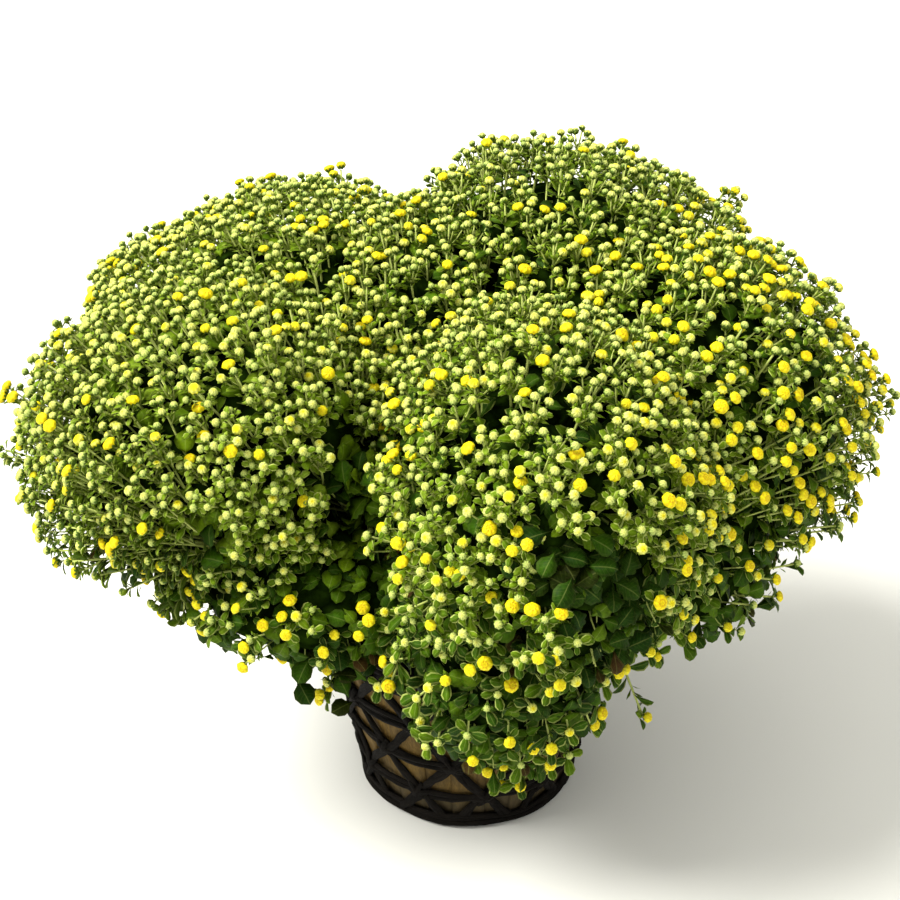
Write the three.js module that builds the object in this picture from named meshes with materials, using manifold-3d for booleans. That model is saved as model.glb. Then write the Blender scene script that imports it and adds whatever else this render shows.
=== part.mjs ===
// A pot chrysanthemum in bud: a broad mound of leafy stems, covered in round button buds, that grows from a
// nursery pot of soil standing in a tapered basket of dark vine lattice over a pale veneer lining.
// Millimetres, +Z up. The origin is the centre of the basket's foot, on the surface that it stands on.
import * as THREE from "three";
import { mergeVertices } from "three/addons/utils/BufferGeometryUtils.js";
import Module from "manifold-3d";

const wasm = await Module();
wasm.setup();
const { Manifold } = wasm;

// ---------------------------------------------------------------- driving dimensions

const TAU = 2 * Math.PI;
const GOLDEN_ANGLE = Math.PI * (3 - Math.sqrt(5));
const SEED = 20260;
const GAP = 0.3; // between pieces that rest on each other

// Basket
const POT_HEIGHT = 252;
const FOOT_RADIUS = 128;
const RIM_RADIUS = 172;
const FOOT_HOOP_HEIGHT = 9;
const FOOT_HOOP_WIDTH = 24;
const RIM_HOOP_HEIGHT = 15;
const RIM_HOOP_WIDTH = 16;
const RIM_OVERHANG = 5;
const LATTICE_THICKNESS = 4;
const LATTICE_COLUMNS = 11; // crossings round each hoop of the lattice
const POT_SIDES = 2 * LATTICE_COLUMNS;
const LATTICE_PITCH = 52.7; // from hoop to hoop
const STRIP_WIDTH = 13;
const LATTICE_ROWS = 4;
const LINING_THICKNESS = 2.5;

// Nursery pot and soil
const NURSERY_WALL = 2;
const NURSERY_FLOOR = 3;
const NURSERY_CLEARANCE = 1.5;
const NURSERY_TOP = 232;
const DRAIN_HOLES = 6;
const DRAIN_RADIUS = 7;
const DRAIN_CIRCLE = 78;
const SOIL_TOP = 218;
const STEM_RADIUS = 4.5;
const STEM_SIDES = 5;
const STEM_STEPS = 6;
const HOLE_DEPTH = 34;
const HOLE_RADIUS = STEM_RADIUS + 5;

// Mound: each lobe is the head of one rooted cutting. "stems" is the number of woody stems that carry it,
// and "turn" is where round the lobe the first of them ends, in degrees.
const LOBES = [
  { name: "back_left", centre: [-200, 164, 460], radii: [262, 270, 201], stems: 3, turn: 65 },
  { name: "front_left", centre: [-269, -28, 466], radii: [209, 184, 180], stems: 3, turn: 0 },
  { name: "back_right", centre: [107, 195, 519], radii: [238, 243, 190], stems: 3, turn: 40 },
  { name: "front", centre: [74, -140, 462], radii: [180, 204, 206], stems: 3, turn: 0 },
  { name: "right", centre: [245, 17, 477], radii: [194, 190, 201], stems: 3, turn: 100 },
  { name: "middle", centre: [-58, 154, 498], radii: [150, 199, 170], stems: 1, turn: 0 },
  { name: "front_drape", centre: [34, -196, 306], radii: [124, 96, 160], stems: 1, turn: 0 },
  { name: "left_skirt", centre: [-167, -128, 344], radii: [167, 99, 80], stems: 1, turn: 0 },
  { name: "right_skirt", centre: [194, -89, 372], radii: [155, 111, 126], stems: 1, turn: 0 },
  { name: "back_skirt", centre: [-40, 150, 350], radii: [150, 120, 120], stems: 1, turn: 0 },
];
const CROWN_HEIGHT = 262; // all the stems fan out from this point over the soil
const FOOT_SPREAD = 104; // how far out the foot of a level stem stands in the soil
const STEM_BEND = 130; // from the crown to the place where a stem has turned towards its head
const STEM_UPRIGHT = 24; // over the crown, to the point that a stem leaves its hole towards
const STEM_SPREAD = 0.44; // the stems of a lobe end this share of its radii from its centre
const CORE_SHARE = 0.82; // the leafy core's share of the lobe
const CORE_ROUGHNESS = 0.3;
const CORE_START = 150; // from the crown to where the leaves start
const CORE_MARGIN = 4; // from a core to the next stem's room

// Buds and leaves, larger than life because they are fewer
const BUD_SPACING = 76; // over the mound
const UNDERSIDE = -0.42; // no bud grows where the lobe faces further down than this
const OUTERMOST = 1.03; // nor where another lobe's share reaches less far out than this
const BUD_RADIUS = 13;
const BUD_DEPTH = 11;
const STALK_RADIUS = 2.6;
const STALK_ROOT = 0.6; // how far out in the core a stalk starts
const SPOON_LEAF_LENGTH = 52;
const SPOON_LEAF_RISE = 0.25; // how steeply it rises towards the bud
const SPOON_LEAF_CUP = 0.3; // how steeply its sides rise from the rib
const LARGE_LEAF_LENGTH = 84;
const LARGE_LEAF_CUP = 0.4;
const LARGE_LEAF_DROOP = 0.15;
const LARGE_LEAF_ROOT = 0.75; // how far out in the core it starts
const LARGE_LEAVES = 2; // on each stem, under its buds
const BLADE_RIB = 2; // thickness in the middle of a leaf
const LEAF_TRIES = 8;
const LEAF_MARGIN = 1.5; // from a bud or leaf to the next stem's room

// Long shoots that stand out of the mound, by the place of their buds
const STRAYS = [
  [-500, -10, 522],
  [466, 10, 501],
  [407, -60, 378],
  [194, -150, 182],
  [-164, -150, 215],
  [315, 250, 648],
  [-436, 200, 567],
  [-330, 330, 520],
  [330, 280, 560],
];

// ---------------------------------------------------------------- small tools

const vec = (x, y, z) => new THREE.Vector3(x, y, z);
const CROWN = vec(0, 0, CROWN_HEIGHT);

function randomFrom(seed) {
  let state = seed >>> 0;
  return () => {
    state = (state + 0x6d2b79f5) >>> 0;
    let t = Math.imul(state ^ (state >>> 15), 1 | state);
    t = (t + Math.imul(t ^ (t >>> 7), 61 | t)) ^ t;
    return ((t ^ (t >>> 14)) >>> 0) / 4294967296;
  };
}
const random = randomFrom(SEED);

// A closed geometry as a solid that can be joined and cut.
function solidOf(geometry) {
  const bare = geometry.clone();
  for (const name of Object.keys(bare.attributes)) {
    if (name !== "position") bare.deleteAttribute(name);
  }
  const merged = mergeVertices(bare, 1e-4);
  return new Manifold(
    new wasm.Mesh({
      numProp: 3,
      vertProperties: new Float32Array(merged.attributes.position.array),
      triVerts: new Uint32Array(merged.index.array),
    }),
  );
}

// The largest body of a solid as a geometry: a scrap that lost its root is dropped.
function geometryOf(solid) {
  const bodies = solid.decompose().sort((a, b) => b.volume() - a.volume());
  const mesh = bodies[0].getMesh();
  const position = new Float32Array(mesh.numVert * 3);
  for (let i = 0; i < mesh.numVert; i++) {
    position.set(mesh.vertProperties.subarray(i * mesh.numProp, i * mesh.numProp + 3), i * 3);
  }
  return new THREE.BufferGeometry()
    .setAttribute("position", new THREE.BufferAttribute(position, 3))
    .setIndex(new THREE.BufferAttribute(new Uint32Array(mesh.triVerts), 1));
}

function geometryFrom(points, faces) {
  return new THREE.BufferGeometry()
    .setAttribute("position", new THREE.Float32BufferAttribute(points.flatMap((p) => [p.x, p.y, p.z]), 3))
    .setIndex(faces.flat());
}

// A solid of revolution about Z from a closed profile of [radius, height] pairs, anticlockwise.
function lathe(profile, sides) {
  const closed = profile[0][0] > 0 || profile.at(-1)[0] > 0 ? [...profile, profile[0]] : profile;
  const points = closed.map(([r, z]) => new THREE.Vector2(r, z));
  return new THREE.LatheGeometry(points, sides).rotateX(Math.PI / 2);
}

function cylinder(radius, bottom, top, sides, x, y) {
  return new THREE.CylinderGeometry(radius, radius, top - bottom, sides)
    .rotateX(Math.PI / 2)
    .translate(x, y, (top + bottom) / 2);
}

// ---------------------------------------------------------------- basket

const wallRadius = (z) => FOOT_RADIUS + ((RIM_RADIUS - FOOT_RADIUS) * z) / POT_HEIGHT;
const basketBottom = FOOT_HOOP_HEIGHT + GAP;
const basketTop = POT_HEIGHT - RIM_HOOP_HEIGHT - GAP;
// The lattice is flat between its corners, so it comes this much nearer the axis there.
const facetSag = RIM_RADIUS * (1 - Math.cos(Math.PI / POT_SIDES));
const liningRadius = (z) => wallRadius(z) - LATTICE_THICKNESS - facetSag - GAP;

function footHoop() {
  const inner = FOOT_RADIUS - FOOT_HOOP_WIDTH;
  const outer = FOOT_RADIUS + 2;
  const bevel = 3;
  return lathe(
    [[inner, 0], [outer - bevel, 0], [outer, bevel], [outer, FOOT_HOOP_HEIGHT], [inner, FOOT_HOOP_HEIGHT]],
    POT_SIDES,
  );
}

// The wooden disc that closes the foot hoop, flush with it.
function basketBase() {
  const radius = FOOT_RADIUS - FOOT_HOOP_WIDTH - GAP;
  return lathe([[0, 0], [radius, 0], [radius, FOOT_HOOP_HEIGHT], [0, FOOT_HOOP_HEIGHT]], POT_SIDES);
}

function rimHoop() {
  const outer = RIM_RADIUS + RIM_OVERHANG;
  const inner = outer - RIM_HOOP_WIDTH;
  const bottom = POT_HEIGHT - RIM_HOOP_HEIGHT;
  const bevel = 4;
  return lathe(
    [
      [inner, bottom + bevel],
      [inner + bevel, bottom],
      [outer - bevel, bottom],
      [outer, bottom + bevel],
      [outer, POT_HEIGHT - bevel],
      [outer - bevel, POT_HEIGHT],
      [inner + bevel, POT_HEIGHT],
      [inner, POT_HEIGHT - bevel],
    ],
    POT_SIDES,
  );
}

// The lattice is one shell of hoops and slanting strips: between each two hoops, a row of triangles that
// point up and down in turn, each with the opening that the strips leave.
function lattice() {
  const points = [];
  const faces = [];
  const known = new Map();
  const levels = [basketBottom];
  for (let i = 1; i <= LATTICE_ROWS; i++) levels.push(i * LATTICE_PITCH);
  const step = TAU / LATTICE_COLUMNS;

  // A point of the shell, outer or inner, once only.
  function vertex(angle, z, outside) {
    const turned = ((angle % TAU) + TAU) % TAU;
    const key = `${Math.round(turned * 1e5) % Math.round(TAU * 1e5)},${z.toFixed(3)},${outside}`;
    if (!known.has(key)) {
      const r = wallRadius(z) - (outside ? 0 : LATTICE_THICKNESS);
      known.set(key, points.length);
      points.push(vec(r * Math.cos(angle), r * Math.sin(angle), z));
    }
    return known.get(key);
  }
  function quad(a, b, c, d) {
    faces.push([a, b, c], [a, c, d]);
  }
  // The frame between a cell's outline and its opening, on both sides, with the opening's walls.
  function cell(outline, opening) {
    outline.forEach(([angle, z], i) => {
      const j = (i + 1) % outline.length;
      const [nextAngle, nextZ] = outline[j];
      const [holeAngle, holeZ] = opening[i];
      const [nextHoleAngle, nextHoleZ] = opening[j];
      const ring = (outside) => [
        vertex(angle, z, outside),
        vertex(nextAngle, nextZ, outside),
        vertex(nextHoleAngle, nextHoleZ, outside),
        vertex(holeAngle, holeZ, outside),
      ];
      const [a, b, c, d] = ring(true);
      const [e, f, g, h] = ring(false);
      quad(a, b, c, d);
      quad(f, e, h, g);
      quad(d, c, g, h);
    });
  }
  for (let row = 0; row < LATTICE_ROWS; row++) {
    const low = levels[row];
    const high = levels[row + 1];
    const radius = wallRadius((low + high) / 2);
    for (let column = 0; column < LATTICE_COLUMNS; column++) {
      const left = (column + (row % 2) / 2) * step;
      for (const up of [true, false]) {
        const base = up ? low : high;
        const apex = up ? high : low;
        const start = up ? left : left - step / 2;
        const outline = up
          ? [[start, base], [start + step / 2, base], [start + step, base], [start + step / 2, apex]]
          : [[start + step, base], [start + step / 2, base], [start, base], [start + step / 2, apex]];
        // The opening is the triangle shrunk about its incentre by half a strip.
        const width = step * radius;
        const height = high - low;
        const side = Math.hypot(width / 2, height);
        const inradius = (width * height) / (width + 2 * side);
        const share = 1 - STRIP_WIDTH / 2 / inradius;
        const middleZ = base + Math.sign(apex - base) * inradius;
        const middleAngle = start + step / 2;
        const opening = outline.map(([angle, z]) => [
          middleAngle + (angle - middleAngle) * share,
          middleZ + (z - middleZ) * share,
        ]);
        cell(outline, opening);
      }
    }
  }
  // The plain band above the last hoop, and the edges at the foot and the top.
  const lastHoop = levels[LATTICE_ROWS];
  for (let side = 0; side < POT_SIDES; side++) {
    const a = (side * step) / 2;
    const b = a + step / 2;
    const strip = (z, isOutside, toZ, toOutside) => {
      const from = [a, b].map((angle) => vertex(angle, z, isOutside));
      const to = [b, a].map((angle) => vertex(angle, toZ, toOutside));
      quad(...from, ...to);
    };
    strip(lastHoop, true, basketTop, true);
    strip(basketTop, true, basketTop, false);
    strip(basketTop, false, lastHoop, false);
    strip(basketBottom, false, basketBottom, true);
  }
  return geometryFrom(points, faces);
}

function lining() {
  const inner = (z) => liningRadius(z) - LINING_THICKNESS;
  return lathe(
    [
      [inner(basketBottom), basketBottom],
      [liningRadius(basketBottom), basketBottom],
      [liningRadius(basketTop), basketTop],
      [inner(basketTop), basketTop],
    ],
    POT_SIDES,
  );
}

const nurseryBottom = basketBottom;
const nurseryRadius = (z) => liningRadius(z) - LINING_THICKNESS - NURSERY_CLEARANCE;
const soilBottom = nurseryBottom + NURSERY_FLOOR + GAP;
const soilRadius = (z) => nurseryRadius(z) - NURSERY_WALL - GAP;

function nurseryPot() {
  const floor = nurseryBottom + NURSERY_FLOOR;
  const cup = solidOf(
    lathe(
      [
        [0, nurseryBottom],
        [nurseryRadius(nurseryBottom), nurseryBottom],
        [nurseryRadius(NURSERY_TOP), NURSERY_TOP],
        [nurseryRadius(NURSERY_TOP) - NURSERY_WALL, NURSERY_TOP],
        [nurseryRadius(floor) - NURSERY_WALL, floor],
        [0, floor],
      ],
      POT_SIDES,
    ),
  );
  const drains = [];
  for (let i = 0; i < DRAIN_HOLES; i++) {
    const angle = (i * TAU) / DRAIN_HOLES;
    const x = DRAIN_CIRCLE * Math.cos(angle);
    const y = DRAIN_CIRCLE * Math.sin(angle);
    drains.push(solidOf(cylinder(DRAIN_RADIUS, nurseryBottom - 1, floor + 1, 8, x, y)));
  }
  return geometryOf(cup.subtract(Manifold.union(drains)));
}

function soil(stems) {
  const [low, high] = [soilRadius(soilBottom), soilRadius(SOIL_TOP)];
  const bed = solidOf(lathe([[0, soilBottom], [low, soilBottom], [high, SOIL_TOP], [0, SOIL_TOP]], POT_SIDES));
  const holes = stems.map(({ foot }) =>
    solidOf(cylinder(HOLE_RADIUS, SOIL_TOP - HOLE_DEPTH, SOIL_TOP + 5, STEM_SIDES, foot.x, foot.y)),
  );
  return geometryOf(bed.subtract(Manifold.union(holes)));
}

// ---------------------------------------------------------------- growth of the mound

// How far out a point lies in a lobe: 1 on its surface.
function levelIn(lobe, p) {
  const [x, y, z] = [p.x, p.y, p.z].map((v, i) => (v - lobe.centre[i]) / lobe.radii[i]);
  return Math.hypot(x, y, z);
}
const levelInMound = (p) => Math.min(...LOBES.map((lobe) => levelIn(lobe, p)));

function isClearOfPot(p, distance) {
  const r = Math.hypot(p.x, p.y);
  return p.z > POT_HEIGHT + distance || r > wallRadius(p.z) + RIM_OVERHANG + distance;
}

// Every woody stem: where it stands in the soil, where it bends and where it ends.
function mainStems() {
  const stems = [];
  for (const lobe of LOBES) {
    for (let i = 0; i < lobe.stems; i++) {
      const turn = (i * TAU) / lobe.stems + THREE.MathUtils.degToRad(lobe.turn);
      const out = lobe.stems > 1 ? STEM_SPREAD : 0;
      const head = vec(
        lobe.centre[0] + out * lobe.radii[0] * Math.cos(turn),
        lobe.centre[1] + out * lobe.radii[1] * Math.sin(turn),
        lobe.centre[2],
      );
      const axis = head.clone().sub(CROWN).normalize();
      const foot = vec(axis.x * FOOT_SPREAD, axis.y * FOOT_SPREAD, SOIL_TOP - HOLE_DEPTH + GAP);
      const bend = CROWN.clone().addScaledVector(axis, STEM_BEND);
      const name = lobe.stems > 1 ? `${lobe.name}_stem_${i + 1}` : `${lobe.name}_stem`;
      stems.push({ name, foot, bend, head, axis });
    }
  }
  return stems;
}

// A stem's room is the cone of directions from the crown that lie nearest its own. It is convex, so
// what has its corners in the room lies in it. This lists how far a point is inside each of its walls.
function wallsOfRoom(stem, stems, p) {
  const out = p.clone().sub(CROWN);
  return stems
    .filter((other) => other !== stem)
    .map((other) => {
      const inward = stem.axis.clone().sub(other.axis).normalize();
      return { inward, depth: out.dot(inward) };
    });
}
function isInRoom(stem, stems, p, margin) {
  return wallsOfRoom(stem, stems, p).every(({ depth }) => depth > margin);
}

// A point of the stem's own, moved in from the walls of its room.
function bentClear(stem, stems, p, margin) {
  const moved = p.clone();
  for (let pass = 0; pass < 3; pass++) {
    for (const { inward, depth } of wallsOfRoom(stem, stems, moved)) {
      if (depth < margin) moved.addScaledVector(inward, margin - depth);
    }
  }
  return moved;
}

// How far the stem's leafy core reaches from its head in a direction.
function coreReach(stem, stems, direction) {
  const step = 4;
  let reach = 2 * step;
  for (;;) {
    const p = stem.head.clone().addScaledVector(direction, reach + step);
    const isInside =
      levelInMound(p) < CORE_SHARE &&
      p.distanceTo(CROWN) > CORE_START &&
      isClearOfPot(p, 2 * step) &&
      isInRoom(stem, stems, p, CORE_MARGIN);
    if (!isInside) return reach;
    reach += step;
  }
}

function coreOf(stem, stems) {
  const ball = new THREE.IcosahedronGeometry(1, 1);
  ball.deleteAttribute("normal");
  ball.deleteAttribute("uv");
  const core = mergeVertices(ball, 1e-4);
  const position = core.attributes.position;
  for (let i = 0; i < position.count; i++) {
    const direction = new THREE.Vector3().fromBufferAttribute(position, i).normalize();
    const reach = coreReach(stem, stems, direction) * (1 - CORE_ROUGHNESS * random());
    const p = stem.head.clone().addScaledVector(direction, reach);
    position.setXYZ(i, p.x, p.y, p.z);
  }
  return core;
}

// A woody stem: upright where it leaves its hole, then bent out to its head.
function stemRod({ foot, bend, head }) {
  const section = new THREE.Shape();
  for (let i = 0; i < STEM_SIDES; i++) {
    const angle = (i * TAU) / STEM_SIDES;
    section[i ? "lineTo" : "moveTo"](STEM_RADIUS * Math.cos(angle), STEM_RADIUS * Math.sin(angle));
  }
  section.closePath();
  const upright = vec(foot.x, foot.y, CROWN_HEIGHT + STEM_UPRIGHT);
  const extrudePath = new THREE.CubicBezierCurve3(foot, upright, bend, head);
  const options = { extrudePath, steps: STEM_STEPS, bevelEnabled: false };
  return solidOf(new THREE.ExtrudeGeometry(section, options));
}

// Two directions square to the given one.
function frameAbout(direction, turn) {
  const helper = Math.abs(direction.z) < 0.9 ? vec(0, 0, 1) : vec(1, 0, 0);
  const u = helper.cross(direction).normalize();
  const v = direction.clone().cross(u);
  return [
    u.clone().multiplyScalar(Math.cos(turn)).addScaledVector(v, Math.sin(turn)),
    v.clone().multiplyScalar(Math.cos(turn)).addScaledVector(u, -Math.sin(turn)),
  ];
}

// Half a leaf's outline, along and across as shares of its length, from its foot to its tip.
const SPOON_EDGE = [[0.45, 0.2], [0.82, 0.24]];
const LOBED_EDGE = [[0.3, 0.2], [0.42, 0.13], [0.62, 0.33], [0.74, 0.2], [0.88, 0.22]];
const leftEdge = (edge) => edge.map(([x, y]) => [x, -y]);
const rightEdge = (edge) => edge.toReversed();

// Triangles from each side of a closed outline to a middle point.
const fan = (outline, middle) => outline.map((p, i) => [p, outline[(i + 1) % outline.length], middle]);

// A six-sided bud on a three-sided stalk that tapers to its root, with up to three spoon-shaped leaves:
// each grows from one side of the stalk's neck, just under the bud.
function shoot(root, tip, leafCount) {
  const direction = tip.clone().sub(root).normalize();
  const [u, v] = frameAbout(direction, random() * TAU);
  const points = [];
  const place = (out, angle, rise, aside = 0) => {
    const across = angle + TAU / 4;
    const x = out * Math.cos(angle) + aside * Math.cos(across);
    const y = out * Math.sin(angle) + aside * Math.sin(across);
    points.push(tip.clone().addScaledVector(u, x).addScaledVector(v, y).addScaledVector(direction, rise));
    return points.length - 1;
  };
  const ring = (count, radius, rise) =>
    Array.from({ length: count }, (_, i) => place(radius, (i * TAU) / count, rise));
  const neck = ring(3, STALK_RADIUS, -BUD_DEPTH);
  const rim = ring(6, BUD_RADIUS, 0);
  const top = place(0, 0, BUD_DEPTH);
  const foot = points.push(root) - 1;
  const faces = [];
  for (let i = 0; i < 3; i++) {
    const [a, b] = [neck[i], neck[(i + 1) % 3]];
    const [before, c, after] = [rim[2 * i], rim[2 * i + 1], rim[(2 * i + 2) % 6]];
    faces.push([foot, b, a], [a, c, before], [b, after, c], [before, c, top], [c, after, top]);
    if (i >= leafCount) {
      faces.push([a, b, c]);
      continue;
    }
    const length = SPOON_LEAF_LENGTH * (0.85 + 0.3 * random());
    const angle = ((2 * i + 1) * TAU) / 6;
    const onLeaf = ([x, y], lift) => {
      const rise = (SPOON_LEAF_RISE * x + SPOON_LEAF_CUP * Math.abs(y)) * length - BUD_DEPTH + lift;
      return place(STALK_RADIUS + x * length, angle, rise, y * length);
    };
    const left = leftEdge(SPOON_EDGE).map((p) => onLeaf(p, 0));
    const tipOfLeaf = onLeaf([1, 0], 0);
    const right = rightEdge(SPOON_EDGE).map((p) => onLeaf(p, 0));
    const upper = onLeaf([0.5, 0], BLADE_RIB / 2);
    const lower = onLeaf([0.5, 0], -BLADE_RIB / 2);
    faces.push(...fan([c, a, ...left, tipOfLeaf, ...right, b], upper));
    faces.push(...fan([a, b, ...right.toReversed(), tipOfLeaf, ...left.toReversed()], lower));
  }
  return { points, geometry: geometryFrom(points, faces) };
}

// A large leaf with cut lobes, cupped and drooping.
function largeLeaf(foot, along, across) {
  const normal = along.clone().cross(across);
  const place = ([x, y], lift = 0) => {
    const rise = LARGE_LEAF_CUP * Math.abs(y) - LARGE_LEAF_DROOP * x * x;
    return foot
      .clone()
      .addScaledVector(along, x * LARGE_LEAF_LENGTH)
      .addScaledVector(across, y * LARGE_LEAF_LENGTH)
      .addScaledVector(normal, rise * LARGE_LEAF_LENGTH + lift);
  };
  const edge = [[0, 0], ...leftEdge(LOBED_EDGE), [1, 0], ...rightEdge(LOBED_EDGE)];
  const outline = edge.map((p) => place(p));
  const points = [...outline, place([0.5, 0], BLADE_RIB / 2), place([0.5, 0], -BLADE_RIB / 2)];
  const around = outline.map((_, i) => i);
  const faces = [...fan(around, outline.length), ...fan(around.toReversed(), outline.length + 1)];
  return { points, geometry: geometryFrom(points, faces) };
}

// The places of the buds: spread by the golden angle over each lobe where it is the outermost.
function budPlaces() {
  const places = STRAYS.map((p) => vec(...p));
  for (const lobe of LOBES) {
    const [a, b, c] = lobe.radii;
    const area = (TAU * 2 * (a * b + b * c + c * a)) / 3;
    const count = Math.round(area / BUD_SPACING ** 2);
    for (let i = 0; i < count; i++) {
      const up = 1 - (2 * (i + 0.5)) / count;
      const flat = Math.sqrt(1 - up * up);
      const angle = i * GOLDEN_ANGLE;
      const unit = vec(flat * Math.cos(angle), flat * Math.sin(angle), up);
      const p = vec(...lobe.centre).add(unit.clone().multiply(vec(a, b, c)));
      const normal = unit.divide(vec(a, b, c)).normalize();
      const isOutermost = LOBES.every((other) => other === lobe || levelIn(other, p) > OUTERMOST);
      if (normal.z > UNDERSIDE && isOutermost && isClearOfPot(p, BUD_RADIUS)) places.push(p);
    }
  }
  return places;
}

// The ring of space that the basket's wall and rim take up, which the leaves hang clear of.
function basketRoom() {
  const inner = FOOT_RADIUS - FOOT_HOOP_WIDTH;
  const top = POT_HEIGHT + LEAF_MARGIN;
  const outer = (z) => wallRadius(z) + RIM_OVERHANG + 2 * LEAF_MARGIN;
  return solidOf(lathe([[inner, 0], [outer(0), 0], [outer(top), top], [inner, top]], POT_SIDES));
}

// The first of several tries that lies in the stem's room, as a list of one solid, or none.
function fitting(stem, stems, make) {
  for (let attempt = 0; attempt < LEAF_TRIES; attempt++) {
    const { points, geometry } = make(attempt);
    if (points.every((p) => isInRoom(stem, stems, p, LEAF_MARGIN))) return [solidOf(geometry)];
  }
  return [];
}

// A shoot to a bud's place. One that won't fit with its leaves has fewer.
function shootTo(tip, leafCount, stem, stems) {
  const direction = tip.clone().sub(stem.head).normalize();
  const start = coreReach(stem, stems, direction) * STALK_ROOT;
  const root = stem.head.clone().addScaledVector(direction, start);
  return fitting(stem, stems, (attempt) => {
    const fewer = Math.floor(attempt / 3);
    return shoot(root, tip, Math.max(0, leafCount - fewer));
  });
}

// A large leaf that stands out of the core, level or drooping.
function largeLeafOn(stem, stems) {
  return fitting(stem, stems, () => {
    const turn = random() * TAU;
    const along = vec(Math.cos(turn), Math.sin(turn), -0.1 - 0.5 * random()).normalize();
    const across = vec(-along.y, along.x, 0).normalize();
    const start = coreReach(stem, stems, along) * LARGE_LEAF_ROOT;
    return largeLeaf(stem.head.clone().addScaledVector(along, start), along, across);
  });
}

// Everything that grows on a stem: its core, its shoots, with one leaf or two by turns, and its large leaves.
function leafyStem(stem, stems, tips) {
  const growth = [solidOf(coreOf(stem, stems))];
  tips.forEach((tip, i) => growth.push(...shootTo(tip, 1 + (i % 2), stem, stems)));
  for (let i = 0; i < LARGE_LEAVES; i++) growth.push(...largeLeafOn(stem, stems));
  return geometryOf(Manifold.union(growth).subtract(basketRoom()).add(stemRod(stem)));
}

// ---------------------------------------------------------------- the plant in its pot

const LATTICE_VINE = new THREE.MeshStandardMaterial({ color: 0x2a1c14, roughness: 0.85, metalness: 0 });
const VENEER = new THREE.MeshStandardMaterial({ color: 0x8a6237, roughness: 0.7, metalness: 0 });
const PLASTIC = new THREE.MeshStandardMaterial({ color: 0x17181a, roughness: 0.5, metalness: 0 });
const SOIL = new THREE.MeshStandardMaterial({ color: 0x2d2119, roughness: 0.95, metalness: 0 });
const FOLIAGE = new THREE.MeshStandardMaterial({ color: 0x5c8426, roughness: 0.6, metalness: 0 });

const plant = new THREE.Group();

function add(name, geometry, material) {
  const mesh = new THREE.Mesh(geometry, material);
  mesh.name = name;
  plant.add(mesh);
}

const stems = mainStems();
const places = budPlaces();

add("foot_hoop", footHoop(), LATTICE_VINE);
add("basket_base", basketBase(), VENEER);
add("basket_lining", lining(), VENEER);
add("basket_lattice", lattice(), LATTICE_VINE);
add("rim_hoop", rimHoop(), LATTICE_VINE);
add("nursery_pot", nurseryPot(), PLASTIC);
add("potting_soil", soil(stems), SOIL);
for (const stem of stems) {
  const own = places.filter((p) => isInRoom(stem, stems, p, 0));
  const tips = own.map((p) => bentClear(stem, stems, p, BUD_RADIUS + LEAF_MARGIN));
  add(stem.name, leafyStem(stem, stems, tips), FOLIAGE);
}

export default plant;
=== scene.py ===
import math
from collections import namedtuple
from functools import partial

import bpy
import numpy as np
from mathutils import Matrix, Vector, noise


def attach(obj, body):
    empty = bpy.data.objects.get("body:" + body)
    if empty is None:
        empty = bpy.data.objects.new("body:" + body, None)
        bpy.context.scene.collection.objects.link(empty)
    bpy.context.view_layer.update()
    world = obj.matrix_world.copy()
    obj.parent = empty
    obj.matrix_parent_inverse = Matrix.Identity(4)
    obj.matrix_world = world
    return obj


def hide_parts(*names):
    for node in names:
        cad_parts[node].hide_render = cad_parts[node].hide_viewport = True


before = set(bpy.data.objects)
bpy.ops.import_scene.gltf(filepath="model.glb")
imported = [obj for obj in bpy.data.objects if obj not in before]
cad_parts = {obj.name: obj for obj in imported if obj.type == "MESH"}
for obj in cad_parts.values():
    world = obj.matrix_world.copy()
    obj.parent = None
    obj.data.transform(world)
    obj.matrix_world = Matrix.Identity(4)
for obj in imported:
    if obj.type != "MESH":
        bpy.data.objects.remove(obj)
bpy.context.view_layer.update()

# A pot chrysanthemum in bud, in a basket of dark vine lattice over a pale veneer lining.
# Metres, +Z up. The origin is the centre of the basket's foot, on the surface that it stands on.
bpy.ops.object.select_all(action="DESELECT")

TAU = 2 * math.pi
GOLDEN_ANGLE = math.pi * (3 - math.sqrt(5))
MM = 0.001
UP = np.array([0.0, 0.0, 1.0])
draw = np.random.default_rng(20260)
between = draw.uniform

# ---- basket and pot sizes

POT_HEIGHT = 0.252
FOOT_RADIUS = 0.128
RIM_RADIUS = 0.172
FOOT_HOOP_HEIGHT = 0.009
RIM_HOOP_HEIGHT = 0.015
LATTICE_COLUMNS = 11
LATTICE_PITCH = 0.0527
LATTICE_ROWS = 4
STRIP = (0.0046, 0.0026)  # half width and half depth
HOOP = (0.0036, 0.0026)
TIE = (0.0036, 0.0024)
SLATS = 24
SOIL_TOP = 0.218
SOIL_BOTTOM = 0.0126
SOIL_INSET = 0.01235  # from the basket's outside to the soil
SOIL_RINGS = 20
HOLE_DEPTH = 0.034

# ---- the mound's lobes

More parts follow.
